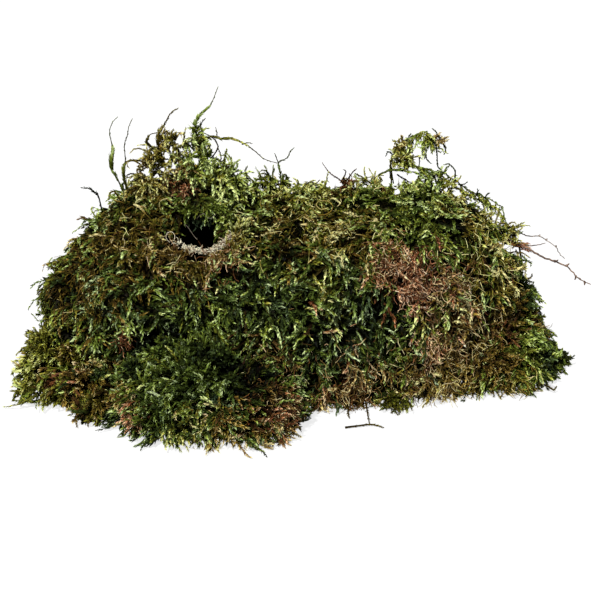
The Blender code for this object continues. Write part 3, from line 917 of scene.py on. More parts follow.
# Thatch fills the gap between the mound's right end and the flap, and their foot
END_THATCH = (
    Bunch((66, 0, 28), (6, 4, 7), 90, (58, 6, 24), 5, 1.6, 0.62, 0.58, 1.1),
    Bunch((66, 0, 18), (6, 5, 5), 90, (58, 6, 18), 5, 1.6, THATCH, 0.66, 0.9),
    Bunch((73, 11, 26), (4, 4, 5), 90, (66, 8, 20), 4.5, 1.5, DEEP_GREEN, 0.55, 1.1),
    Bunch((62, -10, 12), (6, 3, 6), 110, (56, -2, 14), 5, 1.6, GOLDEN, 0.62, 0.9),
    Bunch((60, -9.5, 3), (7, 1.5, 1.5), 60, (60, -2, 4), 4, 1.6, OLIVE, 0.62, 0.9),
    Bunch((30, -20.5, 3.2), (4.5, 2, 2), 80, (30, -13, 5), 4, 1.6, YELLOW_GREEN, 0.5, 1.0),
    Bunch((12, -20, 4), (8, 2, 2), 90, (12, -14, 7), 4, 1.8, THATCH, 0.66, 0.8),
)
# Dark rootlets that hang from the foot to the table, and hooked ends at the right
ROOTLETS = (
    ((13.5, -18, 4), (14, -22, 2.4), (13.8, -26, 1.4), (14.1, -28.4, 0.8)),
    ((18.5, -16, 5), (19.6, -19.5, 3.2), (20, -24, 2), (20.2, -28.5, 1.3), (20.6, -33.3, 0.6)),
    ((16.5, -17, 4.5), (17.8, -21, 2.8), (19.2, -24.5, 2)),
    ((12.6, -34.9, 0.5), (16.5, -34, 0.6), (20.6, -33.1, 0.7), (23, -33.6, 0.6), (25, -34.9, 0.5)),
    ((70.6, 12.2, 35.9), (73, 12.7, 33.7), (74.7, 13.2, 32.7), (77.5, 13.7, 33.3), (77.8, 14.2, 34.4)),
    ((72.6, 12, 45), (73.2, 12, 42), (73.9, 12, 38.6), (72, 12, 37.2)),
    ((77, -5, 3), (81.5, -8, 2.4), (83.5, -8.8, 1.4), (84.6, -8.6, 2.6)),
)
curls = (
    single(LIP_CURL, STRAW, 1.0),
    single(BAND_CURL, GOLDEN, 1.0),
    *(single(thread, STRAW, 0.5) for thread in MOUTH_THREADS),
)
thatch = [
    frayed(MOUND_FRAYS, mound_spots, rng),
    lip_fibres(LIP_FIBRES, rng),
    *(stems(*curl, root_radius=0.13, tip_radius=0.08)[0] for curl in curls),
    bunches((*HOLLOW_SHOOTS, *PIT_SHOOTS, *END_THATCH), rng),
]
for route in ROOTLETS:
    rootlet = single(route, OLIVE, 0.5)
    thatch.append(leafy(*rootlet, rng, leaves=40, leaf=0.8, spread=40, bare=0, stem=0.45))
make_piece("mound_thatch", joined(thatch), moss_green, "moss_mound")

# The front cushion
# A dense rounded lump of short fresh shoots that lies against the mound's foot. Its shoots stand
# up and out from its middle, finer than the mound's.
# Patches of tone, whose lightness is partly painted light and shade: lighter over the cushion's upper
# left, darker at its right beside the mound
CUSHION_PATCHES = (
    Patch((-49, -38, 18), 9, FRESH_GREEN, 1.35, 0.7),
    Patch((-34, -46, 12), 13, DEEP_GREEN, 1.3, 0.6),
    Patch((-54, -44, 9.5), 3.5, 0.86, 1.55, 0.95),  # the rusty tuft at its left foot
    Patch((-60, -38, 13), 5, GOLDEN, 1.35, 0.8),
    Patch((-24, -50, 3), 9, GOLDEN, 1.5, 0.85),  # the golden rim on the table
    Patch((-6, -43, 5), 9, THATCH, 1.6, 0.8),
    Patch((-38, -50, 4), 8, YELLOW_GREEN, 1.3, 0.6),
    Patch((-16, -40, 19), 9, DEEP_GREEN, 0.4, 1.0),
    Patch((-9, -42, 12), 9, THATCH, 0.75, 0.9),
)
CUSHION_PITS = (
    Pit((-55, -31, 24), 5.0, 2.0),
    Pit((-24, -32, 25), 5.5, 1.5),
    Pit((-17, -37, 22), 6.0, 1.5),
)
CUSHION_FRAYS = (
    Fray((-55, -42.5, 11.5), 2.2, 170, 0.82, 0.78, 1.6),
    Fray((-53.6, -45, 8), 2.4, 260, 0.83, 0.8, 1.6),
    Fray((-60, -37, 14), 3.5, 120, GOLDEN, 0.7, 1.8),
    Fray((-22, -50, 3), 8, 140, GOLDEN, 0.85, 2.4),
    Fray((-6, -42, 6), 6, 220, THATCH, 0.78, 3),
    Fray((-14, -39, 15), 7, 120, THATCH, 0.5, 3),
)


DOWNWARDS = 6  # how much lower a lump's shoots point than straight from its middle


def radial(places, middle):
    """Outwards and a little down from a lump's middle."""
    way = places - np.array(middle)
    way[:, 2] -= DOWNWARDS
    return way


def lump_coat(spots, per_square, lock_width, middle, tones, rng, **lie):
    """The coat of a small lump, whose shoots point away from its middle."""
    locks = locks_of(spots.places, per_square, lock_width, rng)
    return coat(spots, locks, radial(spots.places, middle), *tones, rng, **lie)


bright_green = moss_finish("bright_green", roughness=0.6)
rng = np.random.default_rng(23)
CUSHION_DENSITY, CUSHION_MIDDLE = 0.9, (-33, -28, 10)
spots = spots_on("front_cushion", CUSHION_DENSITY, rng)
kept = parted(spots.places, CUSHION_DENSITY, spacing=5.0, radius=1.1, rng=rng)
spots = those(kept & clear_of_pits(spots.places, CUSHION_PITS), spots)
hues, lights = toned(spots.places, 0.22, 0.57, CUSHION_PATCHES, rng)
# Painted shade on the shoots in the cushion's pits
lights *= shade_of(spots.places, CUSHION_PITS)
top_coat = lump_coat(
    spots, CUSHION_DENSITY, 4.0, CUSHION_MIDDLE, (hues, lights), rng,
    length=4.8, lift=-1.2, sink=3.2, rise=0.4, leaves=16, leaf=1.18, swing=0.9,
)
# Shoots in the deep places where it meets the mound, painted dark for the shade there, and along its rim
CUSHION_SHOOTS = (
    Bunch((-54.3, -35.7, 21.4), (2.6, 1.2, 2.2), 40, (-53, -29, 17), 3.4, 1.8, DEEP_GREEN, 0.4, 1.1),
    Bunch((-44, -31.6, 26.4), (2.6, 1.2, 1.8), 36, (-43, -27, 21), 3.2, 1.8, DEEP_GREEN, 0.45, 1.1),
    Bunch((-26.3, -32.5, 24.2), (3.6, 1.4, 2.6), 60, (-26, -25, 19), 3.2, 1.8, DEEP_GREEN, 0.5, 1.1),
    Bunch((-49.9, -40, 14.6), (3.2, 1.2, 1.8), 36, (-47, -34, 14), 3.4, 1.6, DEEP_GREEN, 0.5, 1.1),
    Bunch((-35.8, -43.3, 15.2), (2.2, 1, 2), 30, (-35, -36, 13), 3.2, 1.6, DEEP_GREEN, 0.5, 1.1),
    Bunch((-29.1, -41, 16.8), (1.6, 1, 2.2), 22, (-29, -34, 14), 3.2, 1.6, DEEP_GREEN, 0.5, 1.1),
    Bunch((-18.6, -45.4, 3.6), (3, 1.4, 2), 40, (-20, -38, 7), 3.4, 1.6, GOLDEN, 0.75, 1.0),
)
cushion = joined([top_coat, frayed(CUSHION_FRAYS, spots, rng), bunches(CUSHION_SHOOTS, rng)])
make_piece("cushion_moss", cushion, bright_green, "front_cushion")
core = thatch_core("front_cushion", sink=3.4, pits=(*MOUND_PITS, *CUSHION_PITS), rng=rng)
make_piece("cushion_core", core, thatch_in_shade, "front_cushion")

# The left cushion
# A flatter lump of olive shoots that have spread on the table from the mound's left foot. They
# are looser and longer than the front cushion's, and point to the left and down.
LEFT_PATCHES = (
    Patch((-84, -20, 15), 10, YELLOW_GREEN, 0.95, 0.6),
    Patch((-72, -31, 9), 9, GOLDEN, 0.85, 0.6),
    Patch((-68, -27, 16), 5, GOLDEN, 1.3, 0.8),
    Patch((-78, -26, 12), 8, THATCH, 0.9, 0.5),
    Patch((-62, -30, 12), 8, DEEP_GREEN, 0.7, 0.5),
)
olive_green = moss_finish("olive_green", roughness=0.64)
rng = np.random.default_rng(37)
LEFT_DENSITY, LEFT_MIDDLE = 0.62, (-68, -10, 14)
spots = spots_on("left_cushion", LEFT_DENSITY, rng)
spots = those(parted(spots.places, LEFT_DENSITY, spacing=5.0, radius=1.2, rng=rng), spots)
tones = toned(spots.places, 0.44, 0.68, LEFT_PATCHES, rng)
top_coat = lump_coat(
    spots, LEFT_DENSITY, 4.0, LEFT_MIDDLE, tones, rng,
    length=5.4, lift=-0.8, sink=3.6, rise=0.2, leaf=1.4, swing=1.0, stray=0.12,
)
# Shoots between its locks and along its upper edge
LEFT_SHOOTS = (
    Bunch((-64.6, -34.2, 10.4), (3.4, 1.2, 3.2), 60, (-62, -28, 8), 3.6, 1.6, OLIVE, 0.55, 1.1),
    Bunch((-85.6, -16.2, 22.6), (3, 1.4, 1.4), 44, (-80, -12, 16), 3.8, 1.6, YELLOW_GREEN, 0.62, 1.2),
    Bunch((-83.8, -18.4, 19), (2.2, 1.2, 1.6), 24, (-80, -12, 16), 3.8, 1.6, YELLOW_GREEN, 0.55, 1.2),
    Bunch((-77.5, -20.8, 20.2), (2.6, 1.2, 1.6), 34, (-74, -14, 16), 3.8, 1.6, OLIVE, 0.5, 1.2),
    Bunch((-71.3, -26.4, 13.8), (1.8, 1.2, 2), 24, (-68, -20, 12), 3.8, 1.6, GOLDEN, 0.6, 1.1),
    Bunch((-65.6, -28, 16), (2.2, 1.4, 1.8), 26, (-63, -22, 12), 3.6, 1.6, DEEP_GREEN, 0.45, 1.1),
)
cushion = joined([top_coat, bunches(LEFT_SHOOTS, rng)])
make_piece("left_moss", cushion, olive_green, "left_cushion")
core = thatch_core("left_cushion", sink=3.0, pits=MOUND_PITS, rng=rng)
make_piece("left_core", core, thatch_in_shade, "left_cushion")

# The right flap
# A thin dark mat that sticks out from behind the right end, with brown thatch at its edge. It is
# the mat's own torn end, and its shoots lie flat and point outwards.
FLAP_PATCHES = (
    Patch((79, 20, 23), 8, DEEP_GREEN, 1.0, 0.9),
    Patch((83, 16, 16), 6, THATCH, 1.0, 0.9),
    Patch((75, -8, 12), 9, 0.36, 1.0, 0.6),
    Patch((69, -12, 3), 6, OLIVE, 1.0, 0.9),
    Patch((84, 2, 10), 9, DEEP_GREEN, 0.7, 0.8),
)
FLAP_FRAYS = (
    Fray((81, 12, 16), 5, 90, GOLDEN, 0.6, 3),
    Fray((69, -12, 3), 6, 90, GOLDEN, 0.75, 4),
)
shade_green = moss_finish("shade_green", roughness=0.66)
rng = np.random.default_rng(41)
FLAP_DENSITY, FLAP_MIDDLE = 0.55, (66, 10, 10)
spots = spots_on("right_flap", FLAP_DENSITY, rng)
tones = toned(spots.places, 0.3, 0.6, FLAP_PATCHES, rng)
top_coat = lump_coat(
    spots, FLAP_DENSITY, 4.5, FLAP_MIDDLE, tones, rng,
    length=5.0, lift=-0.9, sink=3.2, rise=0.05, leaf=1.25, swing=0.8, stray=0.04,
)
flap = joined([top_coat, frayed(FLAP_FRAYS, spots, rng)])
make_piece("flap_moss", flap, shade_green, "right_flap")
core = thatch_core("right_flap", sink=3.0, pits=(), rng=rng)
make_piece("flap_core", core, thatch_in_shade, "right_flap")

# The crests
# Tangles of long wiry shoots that stand up along the mound's top, loose enough to see through.
# Most curl over near their tips, and on the right crest they hang from an arch.


CURTAIN_STRAY, CURTAIN_CURL = 0.45, 0.9


def curtain(arch, count, drop, rng):
    """Lines that hang from an arched stem."""
    line = along_route(arch)[0]
    start = line[rng.integers(1, len(line) - 1, count)]
    heading = np.array([0, 0, -1.0]) + rng.normal(0, CURTAIN_STRAY, (count, 3))
    return wandering(start, heading, drop, CURTAIN_CURL, rng)


SPRIG_HUES, SPRIG_LIGHTS = 0.04, 0.22
SPRIG_LEAVES = 2.8  # to a millimetre


def sprigs(runs, rng):
    """Leafy shoots along given lines: each run is its lines, hue, lightness, leaf and stem."""
    growths = []
    for lines, hue, light, leaf, stem in runs:
        far = np.linalg.norm(np.diff(lines, axis=1), axis=2).sum(axis=1).mean()
        tones = varied(hue, light, len(lines), SPRIG_HUES, SPRIG_LIGHTS, rng)
        leaves = int(SPRIG_LEAVES * far)
        growths.append(leafy(lines, *tones, rng, leaves, leaf, spread=32, bare=0, stem=stem))
    return joined(growths)


def beside(line, count, apart, rng):
    """Lines that run along a line, a little apart from it."""
    knots = line.shape[1]
    return line + rng.normal(0, apart, (count, 1, 3)) + rng.normal(0, 0.35 * apart, (count, knots, 3))


crest_green = moss_finish("crest_green", roughness=0.6)
rng = np.random.default_rng(51)
# The crests' shoots are painted lighter than the mound's, as painted light for the light that shines
# through the loose tangle
LEFT_CREST = (
    Bunch((-51, 13, 66), (6.5, 4, 5), 150, (-45, 13, 56), 8, 3.0, 0.53, 1.16, 1.1),
    Bunch((-47, 14, 74), (5.5, 3.5, 4.5), 150, (-43, 13, 64), 7, 3.2, 0.53, 1.16, 1.1),
    Bunch((-44.5, 14, 80), (5, 2.5, 2.4), 90, (-43, 14, 70), 5, 3.4, 0.54, 1.0, 1.0),
    Bunch((-53, 12, 71), (3, 2, 6), 60, (-47, 12, 66), 5.5, 3.4, 0.6, 1.01, 0.9),
    Bunch((-39.5, 12, 70), (2.5, 2.5, 4), 60, (-40, 12, 60), 6, 2.6, GOLDEN, 1.01, 1.1),
    Bunch((-36, 13, 71), (4.5, 3.5, 8), 130, (-37, 12, 58), 8, 2.2, FRESH_GREEN, 1.28, 1.4),
    Bunch((-29, 12, 68), (4.5, 4, 5), 90, (-34, 11, 58), 7.5, 2.2, 0.34, 1.2, 1.4),
    Bunch((-23, 11, 65), (5, 4, 3), 70, (-30, 11, 58), 7, 2.2, 0.32, 1.0, 1.3),
    Bunch((-36, 15, 81), (3, 2, 3.5), 40, (-37, 14, 73), 4.6, 3.0, 0.36, 1.12, 1.3),
    Bunch((-42, 17, 63), (13, 4, 4), 80, (-42, 14, 54), 6, 2.2, OLIVE, 1.06, 1.1),
    Bunch((-41, 9, 66.5), (5, 2, 3.2), 80, (-42, 12, 62), 3.5, 2.6, THATCH, 0.62, 0.6),
    Bunch((-38.8, 6.4, 66.6), (1.8, 1, 2), 70, (-38, 12, 64), 2.4, 2.4, 0.87, 0.85, 0.6),
)
CREST_SPRIG = (
    (-48.5, 16, 76), (-48.7, 17.2, 81.6), (-47, 18, 85.7), (-44.6, 19.5, 89.6), (-42.4, 20.2, 90.9),
)
SHOULDER_CURL = (
    (-68, 10.2, 58), (-68.8, 8.7, 64.2), (-70, 7.2, 66.2), (-71.2, 5.7, 67.8), (-73.5, 4.2, 68.4),
)
# Single dark shoots that hook over at the crest's outline
CREST_HOOKS = (
    ((-48, 13, 76.5), (-50.6, 13.2, 79.2), (-52.4, 13.4, 81.6), (-51.6, 13.6, 83.6), (-49, 13.8, 84.4)),
    ((-45.5, 14, 78), (-47.6, 14, 81), (-47.4, 14.2, 83.6), (-45, 14.4, 85)),
    ((-51, 13, 77), (-54, 12.8, 79), (-56.4, 12.6, 79.2), (-58, 12.4, 77.8)),
    ((-52, 13, 74), (-56, 12.6, 75.4), (-59, 12.2, 75), (-60.6, 12, 73.8)),
    ((-54, 13, 69), (-57.6, 12.4, 70.8), (-60.4, 12, 69.6)),
    ((-31, 14, 76), (-29, 14, 79.4), (-30.4, 14, 82.4), (-33, 14, 84)),
    ((-29.5, 13, 72), (-28, 13, 76), (-29, 13, 79.6)),
    ((-28, 12.6, 70), (-26, 12.4, 73), (-24.2, 12.2, 74.6)),
    ((-61, 11, 61), (-63.6, 10.6, 65), (-65, 10.4, 64.6), (-65.6, 10.2, 62.8)),
)
left_sprigs = sprigs((
    (along_route(CREST_SPRIG), OLIVE, 0.55, 0.9, 0.36),
    (beside(along_route(CREST_SPRIG[:3]), 4, 0.5, rng), OLIVE, 0.7, 1.3, 0.26),
    (beside(along_route(CREST_HOOKS[0][:4]), 2, 0.3, rng), OLIVE, 0.6, 1.0, 0.24),
    (along_route(SHOULDER_CURL), DEEP_GREEN, 0.42, 0.9, 0.35),
    *((along_route(hook), 0.6, 0.55, 0.8, 0.3) for hook in CREST_HOOKS),
), rng)
crest = joined([bunches(LEFT_CREST, rng, mess=0.8, spread=28, droop=0.35), left_sprigs])
make_piece("left_crest_moss", crest, crest_green, "left_crest")

# The low frayed tangle along the ridge between the two high ones
# Its shoots are painted lighter than the mound's, partly as painted light for the light falling through
# the tangle
RIDGE_CREST = (
    Bunch((3, 12, 63), (26, 6, 2.2), 230, (3, 12, 25), 5.5, 2.4, 0.46, 1.2, 1.1),
    Bunch((-12, 13, 67), (8, 3, 2), 60, (-13, 13, 52), 5, 2.6, 0.36, 0.62, 1.1),
    Bunch((21, 14, 66.5), (9, 3, 1.5), 40, (20, 14, 50), 4.5, 2.2, 0.46, 1.04, 1.0),
    Bunch((13, 11, 66.5), (2.2, 1.5, 2.6), 46, (13, 12, 60), 3.2, 2.2, THATCH, 0.6, 0.6),
    Bunch((26, 11, 64.5), (2, 1.5, 1.6), 26, (26, 12, 60), 2.6, 2.2, RUST, 0.6, 0.6),
)
RIDGE_HOOKS = (
    ((0, 12, 67), (1.8, 12, 67.9), (3.6, 12, 67.6), (4.8, 12, 68.8)),
    ((12.5, 12, 69), (13.4, 12, 71.4), (12.6, 12, 72.4)),
    ((14, 12, 69), (15.8, 12, 71.6), (17, 12, 72.6)),
)
RIDGE_TWIGLET = ((14, 13.2, 65), (11.5, 12.2, 68.6), (8.1, 11.2, 71.3), (5.5, 10.2, 75.1))
ridge_sprigs = sprigs((
    (along_route(RIDGE_TWIGLET), THATCH, 0.35, 0.6, 0.3),
    *((along_route(hook), THATCH, 0.32, 0.6, 0.3) for hook in RIDGE_HOOKS),
), rng)
crest = joined([bunches(RIDGE_CREST, rng, mess=0.8, spread=24, droop=0.4), ridge_sprigs])
make_piece("ridge_crest_moss", crest, crest_green, "ridge_crest")

# The right crest, with the arch that its shoots hang from and a runner along the end's edge
# Its shoots are painted lighter than the mound's, partly as painted light for the light falling through
# the tangle
RIGHT_CREST = (
    Bunch((35, 13, 62.5), (7, 5, 2.5), 90, (35, 13, 48), 5.5, 2.2, 0.38, 1.18, 1.1),
    Bunch((48, 13, 60), (6, 5, 2.5), 75, (46, 13, 46), 5.5, 2.2, 0.5, 1.14, 1.1),
    Bunch((34, 13.5, 64.5), (10, 2.5, 2.2), 90, (34, 13.5, 50), 4.2, 2.4, 0.36, 1.3, 1.1),
    Bunch((46, 14, 64.5), (5, 2, 2.5), 50, (46, 14, 52), 4.2, 2.4, 0.44, 1.18, 1.1),
    Bunch((58, 12, 55), (4, 4, 2.5), 46, (52, 12, 44), 5, 2.2, 0.48, 1.01, 1.1),
    Bunch((33, 14, 75.5), (3.6, 1.2, 4.2), 100, (34, 14, 68), 3.6, 3.0, 0.46, 1.18, 1.1),
    Bunch((32, 14, 79.5), (2.4, 1, 1.8), 26, (33, 14, 76), 2.8, 2.6, 0.6, 1.12, 1.1),
    Bunch((68, 13, 49), (3, 2, 3), 60, (62, 12, 46), 4.5, 2.2, 0.5, 1.12, 1.0),
    Bunch((60, 11, 54), (6, 3, 2.5), 70, (56, 8, 46), 4.5, 2.2, 0.54, 1.18, 1.0),
    Bunch((44, 15, 81), (1.8, 1, 1.6), 22, (42, 15, 78), 3, 2.4, GOLDEN, 1.23, 1.0),
    Bunch((44, 14.5, 67.5), (2.6, 1, 2), 22, (44, 14.5, 60), 4, 2.2, FRESH_GREEN, 1.12, 1.2),
    Bunch((38.5, 13.5, 71), (3, 1, 2), 20, (34, 14, 74), 4.5, 1.6, FRESH_GREEN, 1.12, 1.1),
)
CREST_ARCH = (
    (28.8, 13.2, 67), (28.4, 13.6, 74.9), (30.4, 14.1, 79), (33, 14.5, 81.4), (35.7, 14.7, 83.2),
    (38.7, 15, 84.3), (41.1, 15.3, 82.8), (42.4, 15.6, 79.7),
)
LOW_ARCH = ((24, 11, 70.4), (28.7, 11.6, 72), (33.4, 12, 71.5), (37.7, 12.4, 70.4), (41, 12.8, 68))
SIDE_ARCH = ((33, 13.5, 74.2), (37, 13.2, 72.6), (40.2, 13, 70), (41.8, 13, 67))
UNDER_ARCH = ((30.5, 14, 70), (32, 14, 69), (34.5, 14, 67.5), (37, 14, 66))
HANGING_SHOOT = ((43.4, 16.2, 80), (43.8, 15.2, 76), (44, 14.2, 73), (45.9, 13.2, 70.5))
EDGE_RUNNER = (
    (44, 15, 71), (47.2, 14.9, 69.2), (51.2, 14.6, 66.4), (54.1, 14.3, 64.6), (58.1, 13.7, 63),
    (61.2, 13.4, 61.5), (64.7, 13.1, 59.5), (66.2, 12.8, 57.5), (66.8, 12.5, 55), (68.4, 12.2, 51),
)
EDGE_CURL = ((49.4, 14.2, 66), (50, 14.2, 69.4), (49.4, 14.2, 72), (47.6, 14.2, 73.6), (46, 14.2, 73.2))
# Single dark ends under and beside the arch
ARCH_HOOKS = (
    ((37.8, 14, 76), (37.9, 14, 74), (37.7, 14, 72.2)),
    ((40, 14.4, 77), (40.4, 14.4, 75), (41.8, 14.4, 73.6)),
    ((29.4, 13.8, 76), (27.6, 13.6, 78), (26.6, 13.6, 76.4)),
    ((32.4, 14, 80), (34, 14, 83), (34.8, 14, 84)),
    ((44.5, 15, 82), (43, 15, 84.4), (41.8, 15, 85.6)),
    ((45.5, 15, 80.5), (46.6, 15, 78), (46, 15, 76.6)),
    ((51, 14, 66.5), (53, 14, 66.6), (54.2, 14, 67.4)),
    ((57, 13, 63.2), (57.6, 13, 64.6), (57.4, 13, 65.4)),
    ((59.6, 13, 61.8), (60.8, 13, 63.2), (61.4, 13, 64)),
    ((57.8, 13, 62), (59.2, 13, 60.4), (60.4, 13, 60)),
    ((62, 13, 59.6), (62.8, 13, 57), (65.4, 13, 56)),
    ((67, 12, 50), (70, 12, 51), (72, 12, 49.8), (73.4, 12, 50.6)),
)
right_sprigs = sprigs((
    (beside(along_route(CREST_ARCH), 3, 0.5, rng), 0.46, 0.95, 1.0, 0.25),
    (beside(along_route(LOW_ARCH), 2, 0.4, rng), FRESH_GREEN, 0.9, 1.0, 0.3),
    (beside(along_route(SIDE_ARCH), 4, 0.6, rng), 0.34, 1.0, 1.1, 0.25),
    (along_route(UNDER_ARCH), THATCH, 0.35, 0.8, 0.3),
    (along_route(HANGING_SHOOT), DEEP_GREEN, 0.45, 0.8, 0.3),
    (beside(along_route(EDGE_RUNNER), 3, 0.6, rng), 0.36, 0.85, 1.1, 0.28),
    (along_route(EDGE_CURL), DEEP_GREEN, 0.45, 0.8, 0.32),
    *((along_route(hook), DEEP_GREEN, 0.45, 0.8, 0.28) for hook in ARCH_HOOKS),
    (curtain(CREST_ARCH[3:8], 30, 7.0, rng), 0.34, 1.05, 1.2, 0.22),
    (curtain(EDGE_RUNNER[2:9], 26, 4.5, rng), 0.38, 0.9, 1.0, 0.2),
), rng)
crest = joined([bunches(RIGHT_CREST, rng, mess=0.6, spread=26, droop=0.4), right_sprigs])
make_piece("right_crest_moss", crest, crest_green, "right_crest")

# The long shoots
# Five single shoots that stand out of the crests, each a wiry stem with small leaves pressed to
# it and a leafier stretch where it has branched.


BUSHY_LIGHT = 1.6  # a bushy stretch is lighter than the rest
SIDE_SHARE = 0.8  # a side shoot's stem is thinner


def lone_shoot(name, node, route, hue, light, stem, bushy, seed, side_routes=()):
    """One long shoot. A bushy stretch is from and to a share of its length, with its leaves'
    number, length and spread."""
    rng = np.random.default_rng(seed)
    line, hues, lights = single(route, hue, light)
    knots = line.shape[1]
    growths = [leafy(line, hues, lights, rng, leaves=34, leaf=0.8, spread=24, bare=0.02, stem=stem)]
    for low, high, leaves, leaf, spread in bushy:
        stretch = line[:, int(low * (knots - 1)) : int(high * (knots - 1)) + 1]
        glow = BUSHY_LIGHT * lights
        growths.append(leafy(stretch, hues, glow, rng, leaves, leaf, spread, bare=0, stem=stem))
    for side_route in side_routes:
        side = along_route(side_route)
        thin = SIDE_SHARE * stem
        growths.append(leafy(side, hues, lights, rng, leaves=8, leaf=0.7, spread=24, bare=0.02, stem=thin))
    make_piece(name, joined(growths), crest_green, node)


lone_shoot(
    "tall_shoot", "tall_strand",
    ((-37, 14, 78), (-36.4, 16.2, 87.2), (-33.2, 18.2, 90.9), (-31.3, 19.2, 92.6), (-28.9, 21.2, 98.1)),
    FRESH_GREEN, 0.6, 0.32, ((0.05, 0.4, 44, 2.4, 58), (0.35, 0.7, 50, 1.2, 16)), 61,
)
lone_shoot(
    "back_shoot", "back_strand",
    (
        (-59, 12.2, 60), (-62.9, 14, 68.7), (-64.4, 14.7, 71), (-64.8, 15.4, 73.9), (-64.2, 16.2, 77.7),
        (-64.7, 17, 81), (-65.1, 17.7, 83.8), (-64.1, 18.4, 86.6), (-62.3, 19.2, 88.4),
    ),
    0.32, 0.5, 0.3, ((0.26, 0.56, 80, 2.0, 24), (0.02, 0.3, 30, 1.4, 22)), 62,
)
lone_shoot(
    "leaning_shoot", "leaning_strand",
    (
        (-58, 11.2, 60), (-59.9, 9.6, 69.5), (-60, 9.1, 72.7), (-59.2, 8.5, 76.4),
        (-59.2, 7.9, 81.5), (-58, 7.3, 85.1), (-57.3, 6.8, 88.2), (-55.9, 6.2, 91.2),
    ),
    0.4, 0.5, 0.28, ((0.06, 0.4, 70, 1.6, 22),), 63,
)
lone_shoot(
    "arched_shoot", "arched_strand",
    (
        (-38, 14.2, 79), (-34.9, 14.2, 81.1), (-31.2, 13.4, 83.2), (-27.8, 12.7, 82.7), (-24.4, 12, 82.9),
        (-20, 11.2, 81.3), (-16.7, 10.4, 79.1), (-14.2, 9.7, 77), (-12.1, 9, 76.2), (-9.4, 8.2, 75.7),
    ),
    0.46, 0.5, 0.3, ((0.22, 0.6, 60, 1.4, 18),), 64,
    (
        ((-29.3, 13, 82.7), (-29.2, 13, 84.5), (-29.6, 13, 86.6)),
        ((-21, 11.5, 81), (-19, 11.5, 81.6), (-17.5, 11.5, 81.3)),
    ),
)
lone_shoot(
    "forked_shoot", "forked_strand",
    (
        (-8.1, 13.2, 66), (-8.5, 13.4, 71.4), (-9, 13.6, 74.1),
        (-6.1, 13.8, 75.8), (-5.1, 14, 77.8), (-3.9, 14.2, 79.1),
    ),
    0.3, 0.5, 0.28, ((0.0, 0.4, 24, 1.2, 28),), 65,
    (((-9, 13.2, 74.2), (-9.7, 12.7, 76.1), (-10.2, 12.2, 77.8)),),
)

# The twig and its runner
# A bare reddish woody twig, knobbed with old buds, that sticks out at the right end, and a
# thinner grey stem that bows over it.
TWIG_ROUTE = (
    (64, 12.5, 48), (71.2, 13.2, 46), (73.8, 12.3, 45.1), (76.2, 11.4, 44.3), (81.2, 10.6, 41.5),
    (85.1, 9.7, 40.4), (88.6, 8.8, 39), (91.6, 8, 36.1), (94, 7.1, 34.6), (96.5, 6.2, 33.6),
)
RUNNER_ROUTE = (
    (64, 15.6, 51.5), (70.3, 16.2, 50), (73.2, 16.5, 48.6), (76.3, 16.8, 47.2), (79.8, 17.1, 47.1),
    (82.6, 17.3, 45.4), (85.8, 17.6, 43.2), (87.5, 17.9, 40.4), (89.5, 18.2, 38.4),
)
TWIG_STUB = ((72, 12.6, 45.9), (74, 13.2, 45.2), (78.5, 14.2, 44.8), (81.7, 15.2, 45.2))
TWIG_BUDS, RUNNER_BUDS = (0.4, 0.52, 0.55, 0.66, 0.78, 0.84, 0.92), (0.5, 0.62, 0.75)
BARK_SHEEN = 0.25
BARK_ROUGHNESS = (0.6, 0.9)
STREAK_SCALE = 900.0
DARK_UP_TO, LIGHT_FROM = 0.35, 0.65  # of the streaks' own range
CRACK_HEIGHT = 0.2 * MM


def bark_finish(name, dark, light):
    """Dull bark, streaked along the stem and flecked."""
    material = bpy.data.materials.new(name)
    material.use_nodes = True
    nodes, links = material.node_tree.nodes, material.node_tree.links
    shader = nodes["Principled BSDF"]
    shader.inputs["Specular IOR Level"].default_value = BARK_SHEEN
    where = nodes.new("ShaderNodeTexCoord")
    streaks = nodes.new("ShaderNodeTexNoise")
    streaks.inputs["Scale"].default_value = STREAK_SCALE
    streaks.inputs["Detail"].default_value = 4.0
    links.new(where.outputs["Object"], streaks.inputs["Vector"])
    shades = nodes.new("ShaderNodeValToRGB")
    stops = shades.color_ramp.elements
    stops[0].position, stops[0].color = DARK_UP_TO, linear(dark)
    stops[1].position, stops[1].color = LIGHT_FROM, linear(light)
    links.new(streaks.outputs["Fac"], shades.inputs["Fac"])
    links.new(shades.outputs["Color"], shader.inputs["Base Color"])
    rough = nodes.new("ShaderNodeMapRange")
    rough.inputs["To Min"].default_value = BARK_ROUGHNESS[0]
    rough.inputs["To Max"].default_value = BARK_ROUGHNESS[1]
    links.new(streaks.outputs["Fac"], rough.inputs["Value"])
    links.new(rough.outputs["Result"], shader.inputs["Roughness"])
    cracks = nodes.new("ShaderNodeBump")
    cracks.inputs["Strength"].default_value = 0.6
    cracks.inputs["Distance"].default_value = CRACK_HEIGHT
    links.new(streaks.outputs["Fac"], cracks.inputs["Height"])
    links.new(cracks.outputs["Normal"], shader.inputs["Normal"])
    return material


def woody(route, root_radius, tip_radius, rng, knobs=0.12):
    """A knobbly six-sided stem along a route."""
    line = along_route(route, steps=6)
    line = line + rng.normal(0, knobs, line.shape)
    hues, lights = np.array([RUST]), np.array([0.7])
    return stems(line, hues, lights, root_radius, tip_radius, sides=6)[0]


